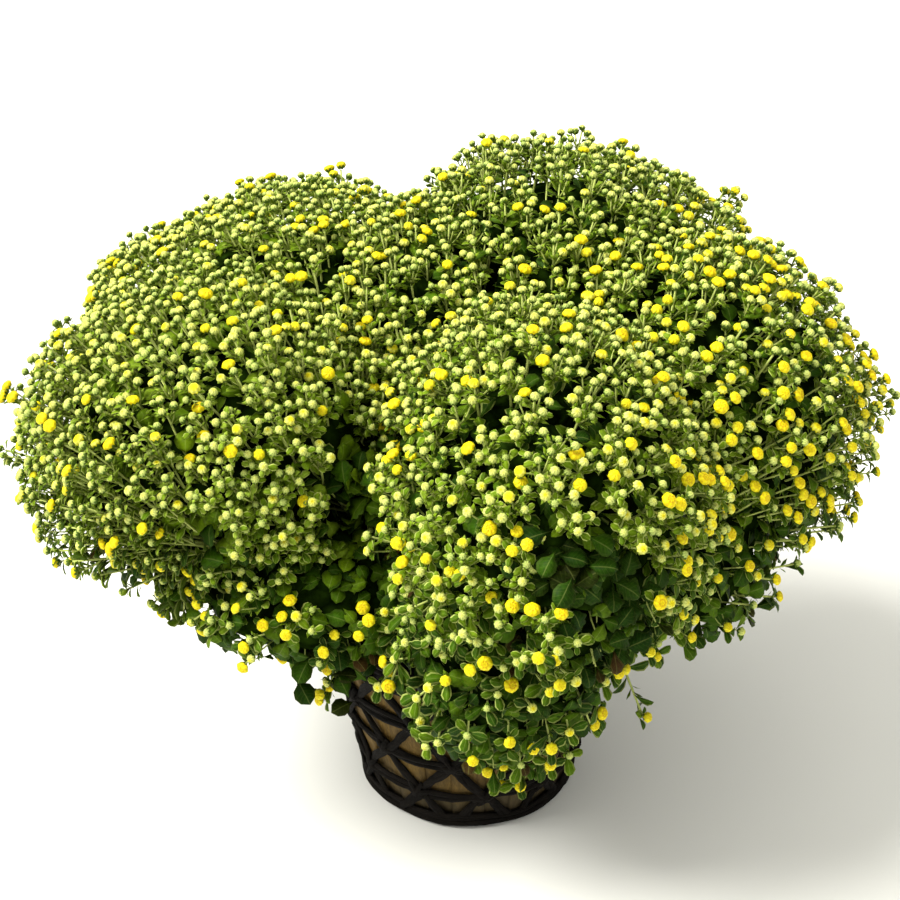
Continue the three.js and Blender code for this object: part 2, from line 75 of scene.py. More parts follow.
# Each lobe is the head of one rooted cutting: its centre and radii in millimetres, the number of woody
# stems in it and where round it they start, then the spacing of its buds and the length of its leaves in
# millimetres, and the share of its buds that are open and yellow.
Lobe = namedtuple("Lobe", "centre radii stems turn spacing leaf ripe")
LOBES = {
    "back_left": Lobe((-200, 164, 460), (262, 270, 201), 3, 65, 14.3, 14.5, 0.13),
    "front_left": Lobe((-269, -28, 466), (209, 184, 180), 3, 0, 12.5, 14.5, 0.11),
    "back_right": Lobe((107, 195, 519), (238, 243, 190), 3, 40, 16.0, 15.0, 0.16),
    "front": Lobe((74, -140, 462), (180, 204, 206), 3, 0, 16.5, 16.0, 0.22),
    "right": Lobe((245, 17, 477), (194, 190, 201), 3, 100, 16.8, 16.0, 0.33),
    "middle": Lobe((-58, 154, 498), (150, 199, 170), 1, 0, 16.0, 15.0, 0.12),
    "front_drape": Lobe((34, -196, 306), (124, 96, 160), 1, 0, 17.5, 19.5, 0.25),
    "left_skirt": Lobe((-167, -128, 344), (167, 99, 80), 1, 0, 20.0, 17.0, 0.30),
    "right_skirt": Lobe((194, -89, 372), (155, 111, 126), 1, 0, 20.0, 17.0, 0.30),
    "back_skirt": Lobe((-40, 150, 350), (150, 120, 120), 1, 0, 22.0, 17.0, 0.30),
}
CENTRES = np.array([lobe.centre for lobe in LOBES.values()]) * MM
RADII = np.array([lobe.radii for lobe in LOBES.values()]) * MM
CROWN = np.array([0, 0, 0.262])  # where the woody stems part
FOOT_SPREAD = 0.104
STEM_SPREAD = 0.44
STEM_BEND = 0.130
STEM_UPRIGHT = 0.024

# Long shoots that stand out of the mound, by the place of their tips, in millimetres.
STRAYS = np.array([
    (-500, -10, 522), (466, 10, 501), (407, -60, 378), (194, -150, 182), (-164, -150, 215), (315, 250, 648),
    (-436, 200, 567), (-330, 330, 520), (330, 280, 560), (-152, -165, 262), (-198, -142, 272),
]) * MM
HANGING = np.array([(54, -206, 133), (36, -214, 166), (80, -211, 160)]) * MM  # over the basket's front

# Clefts between the lobes, where no buds grow within a half width of a line and large leaves show, dark with
# painted shade: how many leaves there are, and the least of their tones, from 0 to 1, whose high end is
# painted shade.
Cleft = namedtuple("Cleft", "line half_width leaves youngest")
CLEFTS = [
    Cleft([(-122, -141, 533), (-123, -161, 498), (-112, -166, 449), (-99, -184, 402)], 43, 84, 0.58),
    Cleft([(-104, -184, 402), (-94, -205, 345)], 0, 34, 0.6),
    Cleft([(117, -331, 514), (140, -330, 467), (154, -313, 402), (140, -284, 338)], 44, 34, 0.98),
    Cleft([(6, 111, 676), (18, 59, 656), (30, 20, 633)], 9, 14, 0.6),
    Cleft([(-262, -213, 470), (-290, -210, 452)], 25, 16, 0.5),
]
# Where the basket shows on either side of the shoots that hang over it.
BARE = [
    Cleft([(-108, -222, 232), (-75, -236, 200), (-50, -242, 158), (-12, -242, 122)], 47, 0, 0),
    Cleft([(150, -196, 215), (122, -206, 167), (98, -212, 120)], 39, 0, 0),
]
# Screens of old and withered leaves low down inside, where the light would else show through under the lobes,
# dark with painted shade: the middle of each and how many leaves it has.
SCREENS = {(-160, -25, 368): 44, (-158, -168, 284): 34, (-205, -120, 285): 16, (86, -312, 496): 34}
SCREEN_FACES = (-0.1, -0.82, 0.57)

FAN = np.array([-0.270, -0.190, 0.435])  # the place low on the left from which shoots fan out, this far
FAN_REACH = 0.21
YELLOW_NEST = np.array([-0.112, -0.215, 0.325])  # where many open blooms sit together, under the cleft
BROW = 0.49  # the height under which the mound shades itself, and how far down it is quite dark
BROW_DEPTH = 0.16
BUDS_IN_CLUSTER = 5  # on average
MOST_BUDS = 8
BUD_ROOM = 0.0112  # the least distance between the middles of two buds
UNDERSIDE = -0.5  # no shoots grow where a lobe faces further down than this
LOW_BEHIND = np.array([0, 0.87, -0.5])
BEHIND_LIMIT = 0.22  # how much a shoot faces low behind where the spacing widens
OUTERMOST = 0.945  # shoots end no further inside another lobe than this share of its radii
INNER_LEAVES = 4300  # for each square metre of a lobe's squared radii
OLD_LEAVES = 3400
LEAFIER_BELOW = 0.4  # lobes whose middles lie lower than this have more leaves inside
CORE_SHARE = 0.84
CORE_START = 0.10
CORE_STEP = 0.006


def unit(v):
    return v / np.linalg.norm(v, axis=-1, keepdims=True)


def stems_of_plant():
    """The woody stems, lobe by lobe: their names, feet in the soil, heads and directions from the crown."""
    names, heads = [], []
    for name, lobe in LOBES.items():
        several = lobe.stems > 1
        for i in range(lobe.stems):
            turn = i * TAU / lobe.stems + math.radians(lobe.turn)
            ring = np.array([math.cos(turn), math.sin(turn), 0]) * (STEM_SPREAD if several else 0)
            heads.append((np.array(lobe.centre) + ring * lobe.radii) * MM)
            names.append(f"{name}_stem_{i + 1}" if several else f"{name}_stem")
    heads = np.array(heads)
    axes = unit(heads - CROWN)
    feet = np.column_stack([axes[:, :2] * FOOT_SPREAD, np.full(len(heads), SOIL_TOP - HOLE_DEPTH)])
    return names, feet, heads, axes


STEMS, FEET, HEADS, AXES = stems_of_plant()


def level_in(index, spots):
    """How far out points lie in a lobe: 1 on its surface."""
    return np.linalg.norm((spots - CENTRES[index]) / RADII[index], axis=-1)


def level_in_mound(spots, but=None):
    return np.min([level_in(i, spots) for i in range(len(LOBES)) if i != but], axis=0)


def wall_radius(z):
    return FOOT_RADIUS + (RIM_RADIUS - FOOT_RADIUS) * z / POT_HEIGHT


def is_clear_of_pot(spots, distance):
    r = np.hypot(spots[..., 0], spots[..., 1])
    return (spots[..., 2] > POT_HEIGHT + distance) | (r > wall_radius(spots[..., 2]) + distance)


def owner_of(spots):
    """The stem whose direction from the crown lies nearest each point's own."""
    return np.argmax(unit(spots - CROWN) @ AXES.T, axis=-1)


def distance_to_line(spots, line):
    nearest = np.full(len(spots), 9.0)
    for a, b in zip(line[:-1], line[1:]):
        t = np.clip((spots - a) @ (b - a) / ((b - a) @ (b - a)), 0, 1)
        nearest = np.minimum(nearest, np.linalg.norm(spots - a - t[:, None] * (b - a), axis=1))
    return nearest


# ---- modelled shapes

# A shape that is copied many times: its points, its faces' corners and sizes, and for each point the
# place in the pattern that its material draws.
Shape = namedtuple("Shape", "points corners sizes place")


def read(items, field, width, kind=np.float32):
    values = np.empty(len(items) * width, kind)
    items.foreach_get(field, values)
    return values.reshape(-1, width) if width > 1 else values


def fill(items, field, values, kind=np.float32):
    items.foreach_set(field, np.asarray(values).astype(kind).ravel())


def points_of(piece):
    return read(piece.data.vertices, "co", 3)


def pick(piece, mask):
    """Selects these vertices of the piece, and goes to edit mode."""
    bpy.ops.object.mode_set(mode="OBJECT")
    for items in (piece.data.polygons, piece.data.edges):
        fill(items, "select", np.zeros(len(items)), bool)
    fill(piece.data.vertices, "select", mask, bool)
    bpy.ops.object.mode_set(mode="EDIT")


def push(piece, mask, scale=None, height=0.0, shift=None):
    """Scales these vertices about the axis at a height, and then shifts them."""
    pick(piece, mask)
    if scale:
        bpy.ops.transform.resize(value=scale, center_override=(0, 0, height))
    if shift:
        bpy.ops.transform.translate(value=shift)


def shape_from(piece, place=None):
    """Takes the modelled piece as a shape to copy, and clears it away. Its pattern place is its own points,
    unless it has another."""
    bpy.ops.object.mode_set(mode="OBJECT")
    mesh = piece.data
    points = points_of(piece).astype(float)
    corners = read(mesh.loops, "vertex_index", 1, np.int32)
    sizes = read(mesh.polygons, "loop_total", 1, np.int32)
    bpy.data.objects.remove(piece)
    bpy.data.meshes.remove(mesh)
    return Shape(points, corners, sizes, points if place is None else np.asarray(place, float))


def ball_to_model(segments, rings):
    """A fresh ball: the piece, where its vertices start, and which ring from the top each is on."""
    bpy.ops.mesh.primitive_uv_sphere_add(segments=segments, ring_count=rings, radius=1)
    piece = bpy.context.object
    start = points_of(piece).copy()
    return piece, start, np.rint(np.arccos(np.clip(start[:, 2], -1, 1)) * rings / math.pi).astype(int)


def model_leaf(rows, tip_lift, rib, cup):
    """A closed leaf blade, one unit long up Z, from a four-sided ball whose poles are the foot and the tip.
    Each row is (distance from the foot, half width, lift)."""
    rings = len(rows) + 1
    piece, start, ring = ball_to_model(4, rings)
    is_edge = np.abs(start[:, 0]) > 1e-3
    for k, (along, half, lift) in enumerate(rows, 1):
        z, r = math.cos(k * math.pi / rings), math.sin(k * math.pi / rings)
        push(piece, ring == k, (half / r, rib / r, 1), z, (0, lift, along - z))
        push(piece, (ring == k) & is_edge, shift=(0, cup * half, 0))
    push(piece, ring == 0, shift=(0, 0, -1))
    push(piece, ring == rings, shift=(0, tip_lift, 2))
    bpy.ops.object.mode_set(mode="OBJECT")
    return shape_from(piece, np.column_stack([np.sign(np.round(start[:, :2], 3)), points_of(piece)[:, 2]]))


def model_bud(segments, top, rows, bottom, petals=0.0):
    """A bud about Z from a ball: its rows are (height, radius) from the top, with every other point of the
    widest two rows drawn out where it has petals."""
    rings = len(rows) + 1
    piece, start, ring = ball_to_model(segments, rings)
    step = np.rint(np.arctan2(start[:, 1], start[:, 0]) * segments / TAU).astype(int)
    widest = int(np.argmax([radius for _, radius in rows])) + 1
    for k, (height, radius) in enumerate(rows, 1):
        z, r = math.cos(k * math.pi / rings), math.sin(k * math.pi / rings)
        push(piece, ring == k, (radius / r, radius / r, 1), z, (0, 0, height - z))
        if petals and abs(k - widest) < 2:
            push(piece, (ring == k) & (step % 2 == 0), (1 + petals, 1 + petals, 1), height)
    push(piece, ring == 0, shift=(0, 0, top - 1))
    push(piece, ring == rings, shift=(0, 0, bottom + 1))
    return shape_from(piece)


def model_rod(sides, steps):
    """A rod one unit long up Z, cut into steps so that it can bend."""
    bpy.ops.mesh.primitive_cylinder_add(vertices=sides, radius=1, depth=1, location=(0, 0, 0.5))
    piece = bpy.context.object
    bpy.ops.object.transform_apply(location=True)
    bpy.ops.object.mode_set(mode="EDIT")
    for i in range(1, steps):
        bpy.ops.mesh.select_all(action="SELECT")
        bpy.ops.mesh.bisect(plane_co=(0, 0, i / steps), plane_no=(0, 0, 1))
    return shape_from(piece)


def model_bract():
    """The smallest leaf: eight faces, from a four-sided cone whose base is drawn down to a foot."""
    bpy.ops.mesh.primitive_cone_add(vertices=4, radius1=1, radius2=0, depth=0.4, location=(0, 0, 0.8))
    piece = bpy.context.object
    bpy.ops.object.transform_apply(location=True)
    push(piece, points_of(piece)[:, 2] < 0.7, (0.22, 0.035, 1), 0.6, (0, 0.06, 0))
    bpy.ops.mesh.extrude_region_move(TRANSFORM_OT_translate={"value": (0, -0.06, -0.6)})
    bpy.ops.mesh.merge(type="CENTER")
    bpy.ops.object.mode_set(mode="OBJECT")
    x, y, z = points_of(piece).T
    is_side = np.abs(x) > 0.1
    is_face = (z > 0.1) & (z < 0.9) & ~is_side
    return shape_from(piece, np.column_stack([np.sign(x) * is_side, np.sign(y - 0.06) * is_face, z]))


def model_core():
    bpy.ops.mesh.primitive_ico_sphere_add(subdivisions=3, radius=1)
    return shape_from(bpy.context.object)


def model_slat():
    """A thin board one unit wide, high and thick, cut so that it can follow the wall."""
    bpy.ops.mesh.primitive_grid_add(x_subdivisions=4, y_subdivisions=6, size=1)
    piece = bpy.context.object
    thick = piece.modifiers.new("thickness", "SOLIDIFY")
    thick.thickness = 1
    thick.offset = -1
    bpy.ops.object.modifier_apply(modifier=thick.name)
    x, y, z = points_of(piece).T
    return shape_from(piece, np.column_stack([x * 3, z * 0.2, y * 30]))


SPOON_LEAF = model_leaf([(0.3, 0.07, 0.03), (0.66, 0.235, 0.055), (0.91, 0.16, 0.02)], 0.0, 0.022, 0.3)
CURLED_LEAF = model_leaf([(0.28, 0.07, 0.06), (0.64, 0.255, 0.09), (0.89, 0.16, 0.0)], -0.08, 0.022, 0.45)
INNER_LEAF = model_leaf([(0.24, 0.1, 0.01), (0.42, 0.3, 0.04), (0.66, 0.36, 0.05), (0.88, 0.26, 0.0)],
                        -0.06, 0.016, 0.3)
COLLAR_LEAF = model_leaf([(0.3, 0.11, 0.05), (0.64, 0.25, 0.06), (0.89, 0.18, 0.01)], -0.05, 0.025, 0.4)
ROUND_LEAF = model_leaf([(0.2, 0.075, 0.04), (0.48, 0.205, 0.06), (0.74, 0.245, 0.05), (0.93, 0.14, 0.01)],
                        -0.03, 0.022, 0.35)
BRACT = model_bract()
LOBED_LEAF = model_leaf(
    [(0.12, 0.02, 0.0), (0.22, 0.05, 0.01), (0.31, 0.25, 0.03), (0.40, 0.29, 0.04), (0.48, 0.25, 0.05),
     (0.60, 0.40, 0.05), (0.70, 0.37, 0.04), (0.79, 0.27, 0.02), (0.88, 0.23, -0.02), (0.96, 0.12, -0.06)],
    -0.1, 0.012, 0.25)
TIGHT_BUD = model_bud(7, 0.95, [(0.72, 0.58), (0.02, 0.98), (-0.66, 0.68)], -0.95)
OPENING_BUD = model_bud(8, 0.68, [(0.76, 0.38), (0.52, 0.8), (-0.05, 1.0), (-0.62, 0.68)], -0.85)
OPEN_BLOOM = model_bud(12, 0.5, [(0.64, 0.34), (0.5, 0.74), (0.08, 1.0), (-0.5, 0.66)], -0.72, 0.07)
STALK = model_rod(3, 2)
TWIG = model_rod(3, 5)
WOODY_STEM = model_rod(8, 16)
STRAND = model_rod(5, 34)
HOOP_STRAND = model_rod(5, 84)
BINDING = model_rod(6, 10)
CORE = model_core()
SLAT = model_slat()

# ---- placing copies


def place_copies(shape, origin, along, facing, size):
    """Copies of a shape, with its Z along one direction and its Y turned towards another."""
    along = unit(along)
    facing = unit(facing - np.sum(facing * along, axis=1, keepdims=True) * along)
    side = np.cross(facing, along)
    axes = np.stack([side, facing, along], axis=1) * np.broadcast_to(size, (len(origin), 3))[:, :, None]
    return origin[:, None, :] + shape.points @ axes


def bezier(controls, t):
    """Points and directions of cubic curves at t, one value or one for each point."""
    a, b, c, d = (controls[:, i, None, :] for i in range(4))
    s, t = (1 - t)[..., None], t[..., None]
    points = s**3 * a + 3 * s * s * t * b + 3 * s * t * t * c + t**3 * d
    return points, unit(s * s * (b - a) + 2 * s * t * (c - b) + t * t * (d - c))


def any_square(directions):
    """One direction that is square to each of these."""
    helper = np.where(np.abs(directions[:, 2:]) < 0.9, UP, np.array([1.0, 0, 0]))
    return unit(np.cross(helper, directions))


def square_to(directions, turn):
    """Directions square to the given ones, at a turn about them."""
    u = any_square(directions)
    return np.cos(turn)[:, None] * u + np.sin(turn)[:, None] * np.cross(directions, u)


def bend_copies(shape, controls, root_radius, tip_radius):
    """Copies of a rod, each bent along its own cubic curve and tapered."""
    t = np.clip(shape.points[:, 2], 0, 1)
    centres, forward = bezier(controls, t[None, :])
    across = unit(np.cross(forward, -any_square(unit(controls[:, 3] - controls[:, 0]))[:, None, :]))
    other = np.cross(forward, across)
    radius = (np.reshape(root_radius, (-1, 1)) * (1 - t) + np.reshape(tip_radius, (-1, 1)) * t)[..., None]
    x, y = shape.points[None, :, 0, None], shape.points[None, :, 1, None]
    return centres + radius * (x * across + y * other)


def build_piece(name, batches, materials):
    """One mesh from batches of copies: each is its shape, its points, a tone for each copy and the number of
    its material."""
    parts, base = [], 0
    for shape, copies, own_tones, material in batches:
        count, width = copies.shape[:2]
        parts.append((
            copies.reshape(-1, 3), np.tile(shape.place, (count, 1)), np.repeat(own_tones, width, axis=0),
            (shape.corners + base + np.arange(count)[:, None] * width).ravel(),
            np.tile(shape.sizes, count), np.full(count * len(shape.sizes), material)))
        base += count * width
    points, place, tone, corners, sizes, finish = (np.concatenate(values) for values in zip(*parts))
    mesh = bpy.data.meshes.new(name)
    mesh.vertices.add(base)
    mesh.loops.add(len(corners))
    mesh.polygons.add(len(sizes))
    fill(mesh.vertices, "co", points)
    fill(mesh.loops, "vertex_index", corners, np.int32)
    fill(mesh.polygons, "loop_start", np.cumsum(sizes) - sizes, np.int32)
    fill(mesh.polygons, "material_index", finish, np.int32)
    fill(mesh.polygons, "use_smooth", np.ones(len(sizes)), bool)
    for field, values in (("place", place), ("tone", tone)):
        fill(mesh.attributes.new(field, "FLOAT_VECTOR", "POINT").data, "vector", values)
    mesh.update(calc_edges=True)
    for material in materials:
        mesh.materials.append(material)
    piece = bpy.data.objects.new(name, mesh)
    bpy.context.scene.collection.objects.link(piece)
    return piece


def tones(count, first=0.5, second=0.5):
    """A tone for each copy: two values that say what it looks like, and a random one."""
    ones = np.ones(count)
    return np.column_stack([ones * first, ones * second, draw.random(count)])


# ---- materials


def is_linked(value):
    return isinstance(value, bpy.types.NodeSocket)


def add_node(kind, inputs, tree=None, **settings):
    """A node in the tree of what is linked to it; its other inputs are set to values."""
    tree = tree or next(value.id_data for value in inputs.values() if is_linked(value))
    made = tree.nodes.new(f"ShaderNode{kind}")
    for name, value in settings.items():
        setattr(made, name, value)
    for name, value in inputs.items():
        if is_linked(value):
            tree.links.new(value, made.inputs[name])
        else:
            made.inputs[name].default_value = value
    return made


def calc(operation, *values, clamp=False):
    return add_node("Math", dict(enumerate(values)), operation=operation, use_clamp=clamp).outputs[0]


plus, minus, times, times_plus, larger, absolute, sine = (partial(calc, operation) for operation in (
    "ADD", "SUBTRACT", "MULTIPLY", "MULTIPLY_ADD", "MAXIMUM", "ABSOLUTE", "SINE"))


def with_alpha(value):
    return (*value, 1) if isinstance(value, tuple) else value


def blend(factor, a, b):
    """From one colour to another by a factor."""
    return add_node("Mix", {0: factor, 6: with_alpha(a), 7: with_alpha(b)}, data_type="RGBA").outputs[2]


def ramp(factor, stops):
    """Colours or greys along a value: {position: colour} with at least two stops."""
    made = add_node("ValToRGB", {"Fac": factor})
    elements = made.color_ramp.elements
    while len(elements) < len(stops):
        elements.new(0.5)
    for element, (position, colour) in zip(elements, stops.items()):
        element.position = position
        element.color = with_alpha(colour if isinstance(colour, tuple) else (colour, colour, colour))
    return made.outputs[0]


def split(vector):
    return add_node("SeparateXYZ", {"Vector": vector}).outputs


def point_value(tree, name):
    """The vector that build_piece gave each point under this name."""
    return add_node("Attribute", {}, tree, attribute_name=name).outputs["Vector"]


def object_place(tree):
    return add_node("TexCoord", {}, tree).outputs["Object"]


def cloud(vector, scale, detail=2.0, rough=0.5):
    values = {"Vector": vector, "Scale": scale, "Detail": detail, "Roughness": rough}
    return add_node("TexNoise", values).outputs[0]


def cells(vector, scale):
    """The distance from the middle of the nearest of many scattered cells."""
    return add_node("TexVoronoi", {"Vector": vector, "Scale": scale}).outputs["Distance"]


def bump(height, strength, distance):
    return add_node("Bump", {"Height": height, "Strength": strength, "Distance": distance}).outputs[0]


def shared_effect(inputs, outputs):
    """Makes a function of sockets into a node group, and into a function that adds the group: its inputs and
    outputs are {name: kind}."""
    def make(effect):
        tree = bpy.data.node_groups.new(effect.__name__.replace("_", " "), "ShaderNodeTree")
        for way, sockets in (("INPUT", inputs), ("OUTPUT", outputs)):
            for socket, kind in sockets.items():
                tree.interface.new_socket(socket, in_out=way, socket_type=f"NodeSocket{kind}")
        start, end = tree.nodes.new("NodeGroupInput"), tree.nodes.new("NodeGroupOutput")
        for socket, value in zip(outputs, effect(*(start.outputs[name] for name in inputs))):
            tree.links.new(value, end.inputs[socket])

        def add(*given):
            return add_node("Group", dict(zip(inputs, map(with_alpha, given))), node_tree=tree).outputs
        return add
    return make


def new_material(name, look, **shader_values):
    """A material: look(tree) returns its colour, its normal and its roughness, or the first of these, and the
    other values are its shader's own."""
    material = bpy.data.materials.new(name)
    material.use_nodes = True
    tree = material.node_tree
    shader = tree.nodes["Principled BSDF"]
    for socket, value in shader_values.items():
        shader.inputs[socket.replace("_", " ")].default_value = value
    for socket, value in zip(("Base Color", "Normal", "Roughness"), look(tree)):
        tree.links.new(value, shader.inputs[socket])
    return material


@shared_effect({"Colour": "Color", "Where": "Vector", "Scale": "Float", "Dark": "Float", "Light": "Float"},
               {"Colour": "Color", "Patches": "Float"})
def mottle(colour, where, scale, dark, light):
    """Soft patches and fine specks over a colour, as on any living or weathered surface."""
    patches = cloud(where, scale, 3.0, 0.6)
    shade = add_node("MapRange", {
        "Value": patches, "From Min": 0.3, "From Max": 0.7, "To Min": dark, "To Max": light}).outputs[0]
    return add_node("HueSaturation", {"Color": colour, "Value": shade}).outputs[0], patches


@shared_effect({"Place": "Vector", "Scale": "Float", "Stretch": "Float"}, {"Streaks": "Float"})
def fibres(place, scale, stretch):
    """Long streaks along a strand or a board, from its pattern place: across, out and along."""
    x, y, z = split(place)
    strung = add_node("CombineXYZ", {0: x, 1: y, 2: times(z, stretch)}).outputs[0]
    coarse, fine = cloud(strung, scale, 4.0, 0.65), cloud(strung, times(scale, 3.4))
    return [plus(times(coarse, 0.7), times(fine, 0.3))]


@shared_effect({"Place": "Vector", "Margin": "Float"},
               {"Veins": "Float", "Edge": "Float", "Underside": "Float"})
def leaf_pattern(place, margin):
    """The veins and the pale margin of a leaf, from its pattern place: side, face and distance along."""
    x, face, along = split(place)
    side = absolute(x)
    wave = absolute(sine(times(minus(along, times(side, 0.22)), 26.0)))
    side_veins = minus(1.0, times(wave, 5.0), clamp=True)
    rib = minus(1.0, times(side, 11.0), clamp=True)
    edge = times(larger(minus(side, margin), minus(along, 0.94)), 14.0, clamp=True)
    return larger(rib, times(side_veins, 0.45)), edge, calc("LESS_THAN", face, -0.05)


NEW_LEAF = (0.235, 0.33, 0.03)
YOUNG_LEAF = (0.14, 0.225, 0.004)
OLD_LEAF = (0.026, 0.072, 0.001)
SHADED_LEAF = (0.008, 0.03, 0.0015)
WITHERED_LEAF = (0.05, 0.026, 0.006)
BRIGHT_LEAF = (0.12, 0.24, 0.004)
UNDER_LEAF = (0.13, 0.19, 0.02)
PALE_RIM = (0.58, 0.66, 0.18)


def leaf_look(tree):
    """Green from new to withered, and darkest as painted shade. The tone says how old a leaf is with painted
    shade and painted light added in, how pale its margin is, and its own hue.
    """
    veins, edge, underside = leaf_pattern(point_value(tree, "place"), 0.69)
    age_light_and_shade, paleness, own = split(point_value(tree, "tone"))
    # The ramp ends in painted shade, the tone of leaves deep inside or low in the mound.
    colour = ramp(age_light_and_shade, {0.0: NEW_LEAF, 0.22: YOUNG_LEAF, 0.74: OLD_LEAF, 1.0: SHADED_LEAF})
    colour = blend(times(own, times_plus(age_light_and_shade, -0.19, 0.25)), colour, BRIGHT_LEAF)
    colour = blend(times(minus(age_light_and_shade, 1.05), 3.0, clamp=True), colour, WITHERED_LEAF)
    colour, patches = mottle(colour, object_place(tree), 260.0, 0.7, 1.25)
    colour = blend(times(veins, 0.13), colour, PALE_RIM)
    colour = blend(times(underside, 0.3), colour, UNDER_LEAF)
    rim_share = times(edge, times_plus(paleness, 0.9, 0.04))
    rim_share = times(rim_share, times_plus(age_light_and_shade, -0.5, 1.0, clamp=True))
    relief = minus(patches, times(veins, 0.6))
    return blend(rim_share, colour, PALE_RIM), bump(relief, 0.5, 0.0006), times_plus(patches, 0.3, 0.38)


def stem_look(tree):
    """Pale grey-green skin with fine ribs, woody and brown low down, as the tone says."""
    streaks = fibres(point_value(tree, "place"), 2.2, 1.5)[0]
    skin = ramp(streaks, {0.3: (0.27, 0.34, 0.06), 0.55: (0.46, 0.53, 0.14), 0.75: (0.57, 0.63, 0.20)})
    wood = ramp(streaks, {0.3: (0.030, 0.020, 0.010), 0.7: (0.13, 0.095, 0.05)})
    colour = blend(split(point_value(tree, "tone"))[0], skin, wood)
    return colour, bump(streaks, 0.5, 0.0005)


def bud_look(tree):
    """Packed florets that turn from green-white to yellow as the bud opens, with painted shade in the gaps
    between them and a darker ring on open blooms, in a cup of pointed green scales. The tone says how ripe
    the bud is."""
    x, y, z = split(point_value(tree, "place"))
    ripe = split(point_value(tree, "tone"))[0]
    angle = calc("ARCTAN2", y, x)
    radius = calc("SQRT", times_plus(x, x, times(y, y)))
    on_top = calc("GREATER_THAN", z, 0.1)
    # The middle of a bud ripens first, and its outer petals last.
    here = plus(ripe, times(times(minus(0.55, radius), 0.4), on_top))
    petals = ramp(here, {0.1: (0.43, 0.53, 0.13), 0.35: (0.68, 0.73, 0.20), 0.52: (0.78, 0.78, 0.12),
                         0.64: (0.85, 0.77, 0.010), 1.0: (0.86, 0.72, 0.002)})
    # The colour of the painted shade between the florets, which the darker ring of open blooms shares.
    shade_and_ring_colour = ramp(here, {0.1: (0.13, 0.19, 0.03), 0.45: (0.32, 0.34, 0.03), 0.66: (0.58, 0.40, 0.003),
                           1.0: (0.56, 0.29, 0.001)})
    ridges = times_plus(sine(times_plus(radius, 5.0, times(angle, 7.0))), 0.5, 0.5)
    rings = times_plus(sine(times(radius, 16.0)), 0.5, 0.5)
    # Painted shade in the gaps between the ridges of florets.
    floret_gap_shade = times(minus(1.0, ridges), times_plus(rings, 0.5, 0.5))
    ring = minus(1.0, times(absolute(minus(radius, 0.42)), 5.5), clamp=True)
    opened = times(minus(ripe, 0.45), 1.6, clamp=True)
    dark = larger(times(floret_gap_shade, 0.6), times(ring, times(on_top, opened)))
    colour = blend(dark, petals, shade_and_ring_colour)
    teeth = absolute(sine(times(angle, 4.0)))
    rise = times_plus(teeth, 0.4, times_plus(ripe, -0.5, 0.02))
    cup = times(minus(rise, z), 9.0, clamp=True)
    colour = blend(cup, colour, ramp(cup, {0.1: (0.30, 0.38, 0.10), 0.7: (0.08, 0.14, 0.02)}))
    colour = mottle(colour, object_place(tree), 500.0, 0.88, 1.1)[0]
    return colour, bump(times(ridges, minus(1.0, cup)), 0.6, 0.0008)


def shade_look(tree):
    """Painted shade: the dark inside of the mound, in leaf-like cells."""
    where = object_place(tree)
    depth = cells(where, 55.0)
    near = ramp(depth, {0.1: (0.016, 0.036, 0.003), 0.7: (0.003, 0.007, 0.001)})
    return mottle(near, where, 90.0, 0.5, 1.4)[0], bump(depth, 0.8, 0.004)


def vine_look(tree):
    """Rough dark bark: black in the cracks, brown on the ridges, with some grey weathered fibres."""
    streaks = fibres(point_value(tree, "place"), 2.6, 1.0)[0]
    bark = ramp(streaks, {0.36: (0.0012, 0.0008, 0.0005), 0.55: (0.004, 0.0026, 0.0015),
                          0.68: (0.012, 0.0078, 0.0045), 0.82: (0.055, 0.037, 0.022)})
    own = split(point_value(tree, "tone"))[2]
    bark = mottle(bark, object_place(tree), 70.0, 0.55, 1.35)[0]
    colour = blend(times(own, 0.12), bark, (0.03, 0.024, 0.02))
    return colour, bump(streaks, 1.0, 0.0035), times_plus(streaks, -0.25, 0.95)


def veneer_look(tree):
    """Tan wood with upright grain, dark pores and grey stains low down; the tone is each slat's own shade."""
    where = object_place(tree)
    grain = fibres(point_value(tree, "place"), 3.0, 0.16)[0]
    wood = ramp(grain, {0.3: (0.045, 0.025, 0.006), 0.5: (0.135, 0.080, 0.018), 0.62: (0.20, 0.120, 0.028),
                        0.8: (0.28, 0.185, 0.055)})
    own = split(point_value(tree, "tone"))[2]
    colour = blend(times(own, 0.6), wood, (0.07, 0.046, 0.014))
    height = times_plus(split(where)[2], -6.0, 0.45)
    stained = ramp(plus(cloud(where, 22.0, 4.0, 0.65), height, clamp=True), {0.45: 0.0, 0.8: 0.75})
    colour = blend(stained, colour, (0.055, 0.048, 0.030))
    return colour, bump(grain, 0.7, 0.0012), times_plus(grain, -0.2, 0.75)


def disc_wood_look(tree):
    """Bare wood of the basket's foot, with grain along X."""
    turned = {"Vector": object_place(tree), "Rotation": (0, math.pi / 2, 0), "Scale": (40, 40, 40)}
    grain = fibres(add_node("Mapping", turned).outputs[0], 1.0, 0.08)[0]
    wood = ramp(grain, {0.3: (0.07, 0.04, 0.018), 0.7: (0.26, 0.16, 0.07)})
    return wood, bump(grain, 0.6, 0.001)


def plastic_look(tree):
    """Thin black moulded plastic, dusty with dried soil."""
    where = object_place(tree)
    colour, patches = mottle((0.012, 0.012, 0.013), where, 30.0, 0.7, 1.5)
    dust = ramp(cloud(where, 60.0, 5.0, 0.7), {0.5: 0.0, 0.75: 0.5})
    return blend(dust, colour, (0.09, 0.065, 0.045)), bump(patches, 0.2, 0.0005), times_plus(dust, 0.5, 0.4)


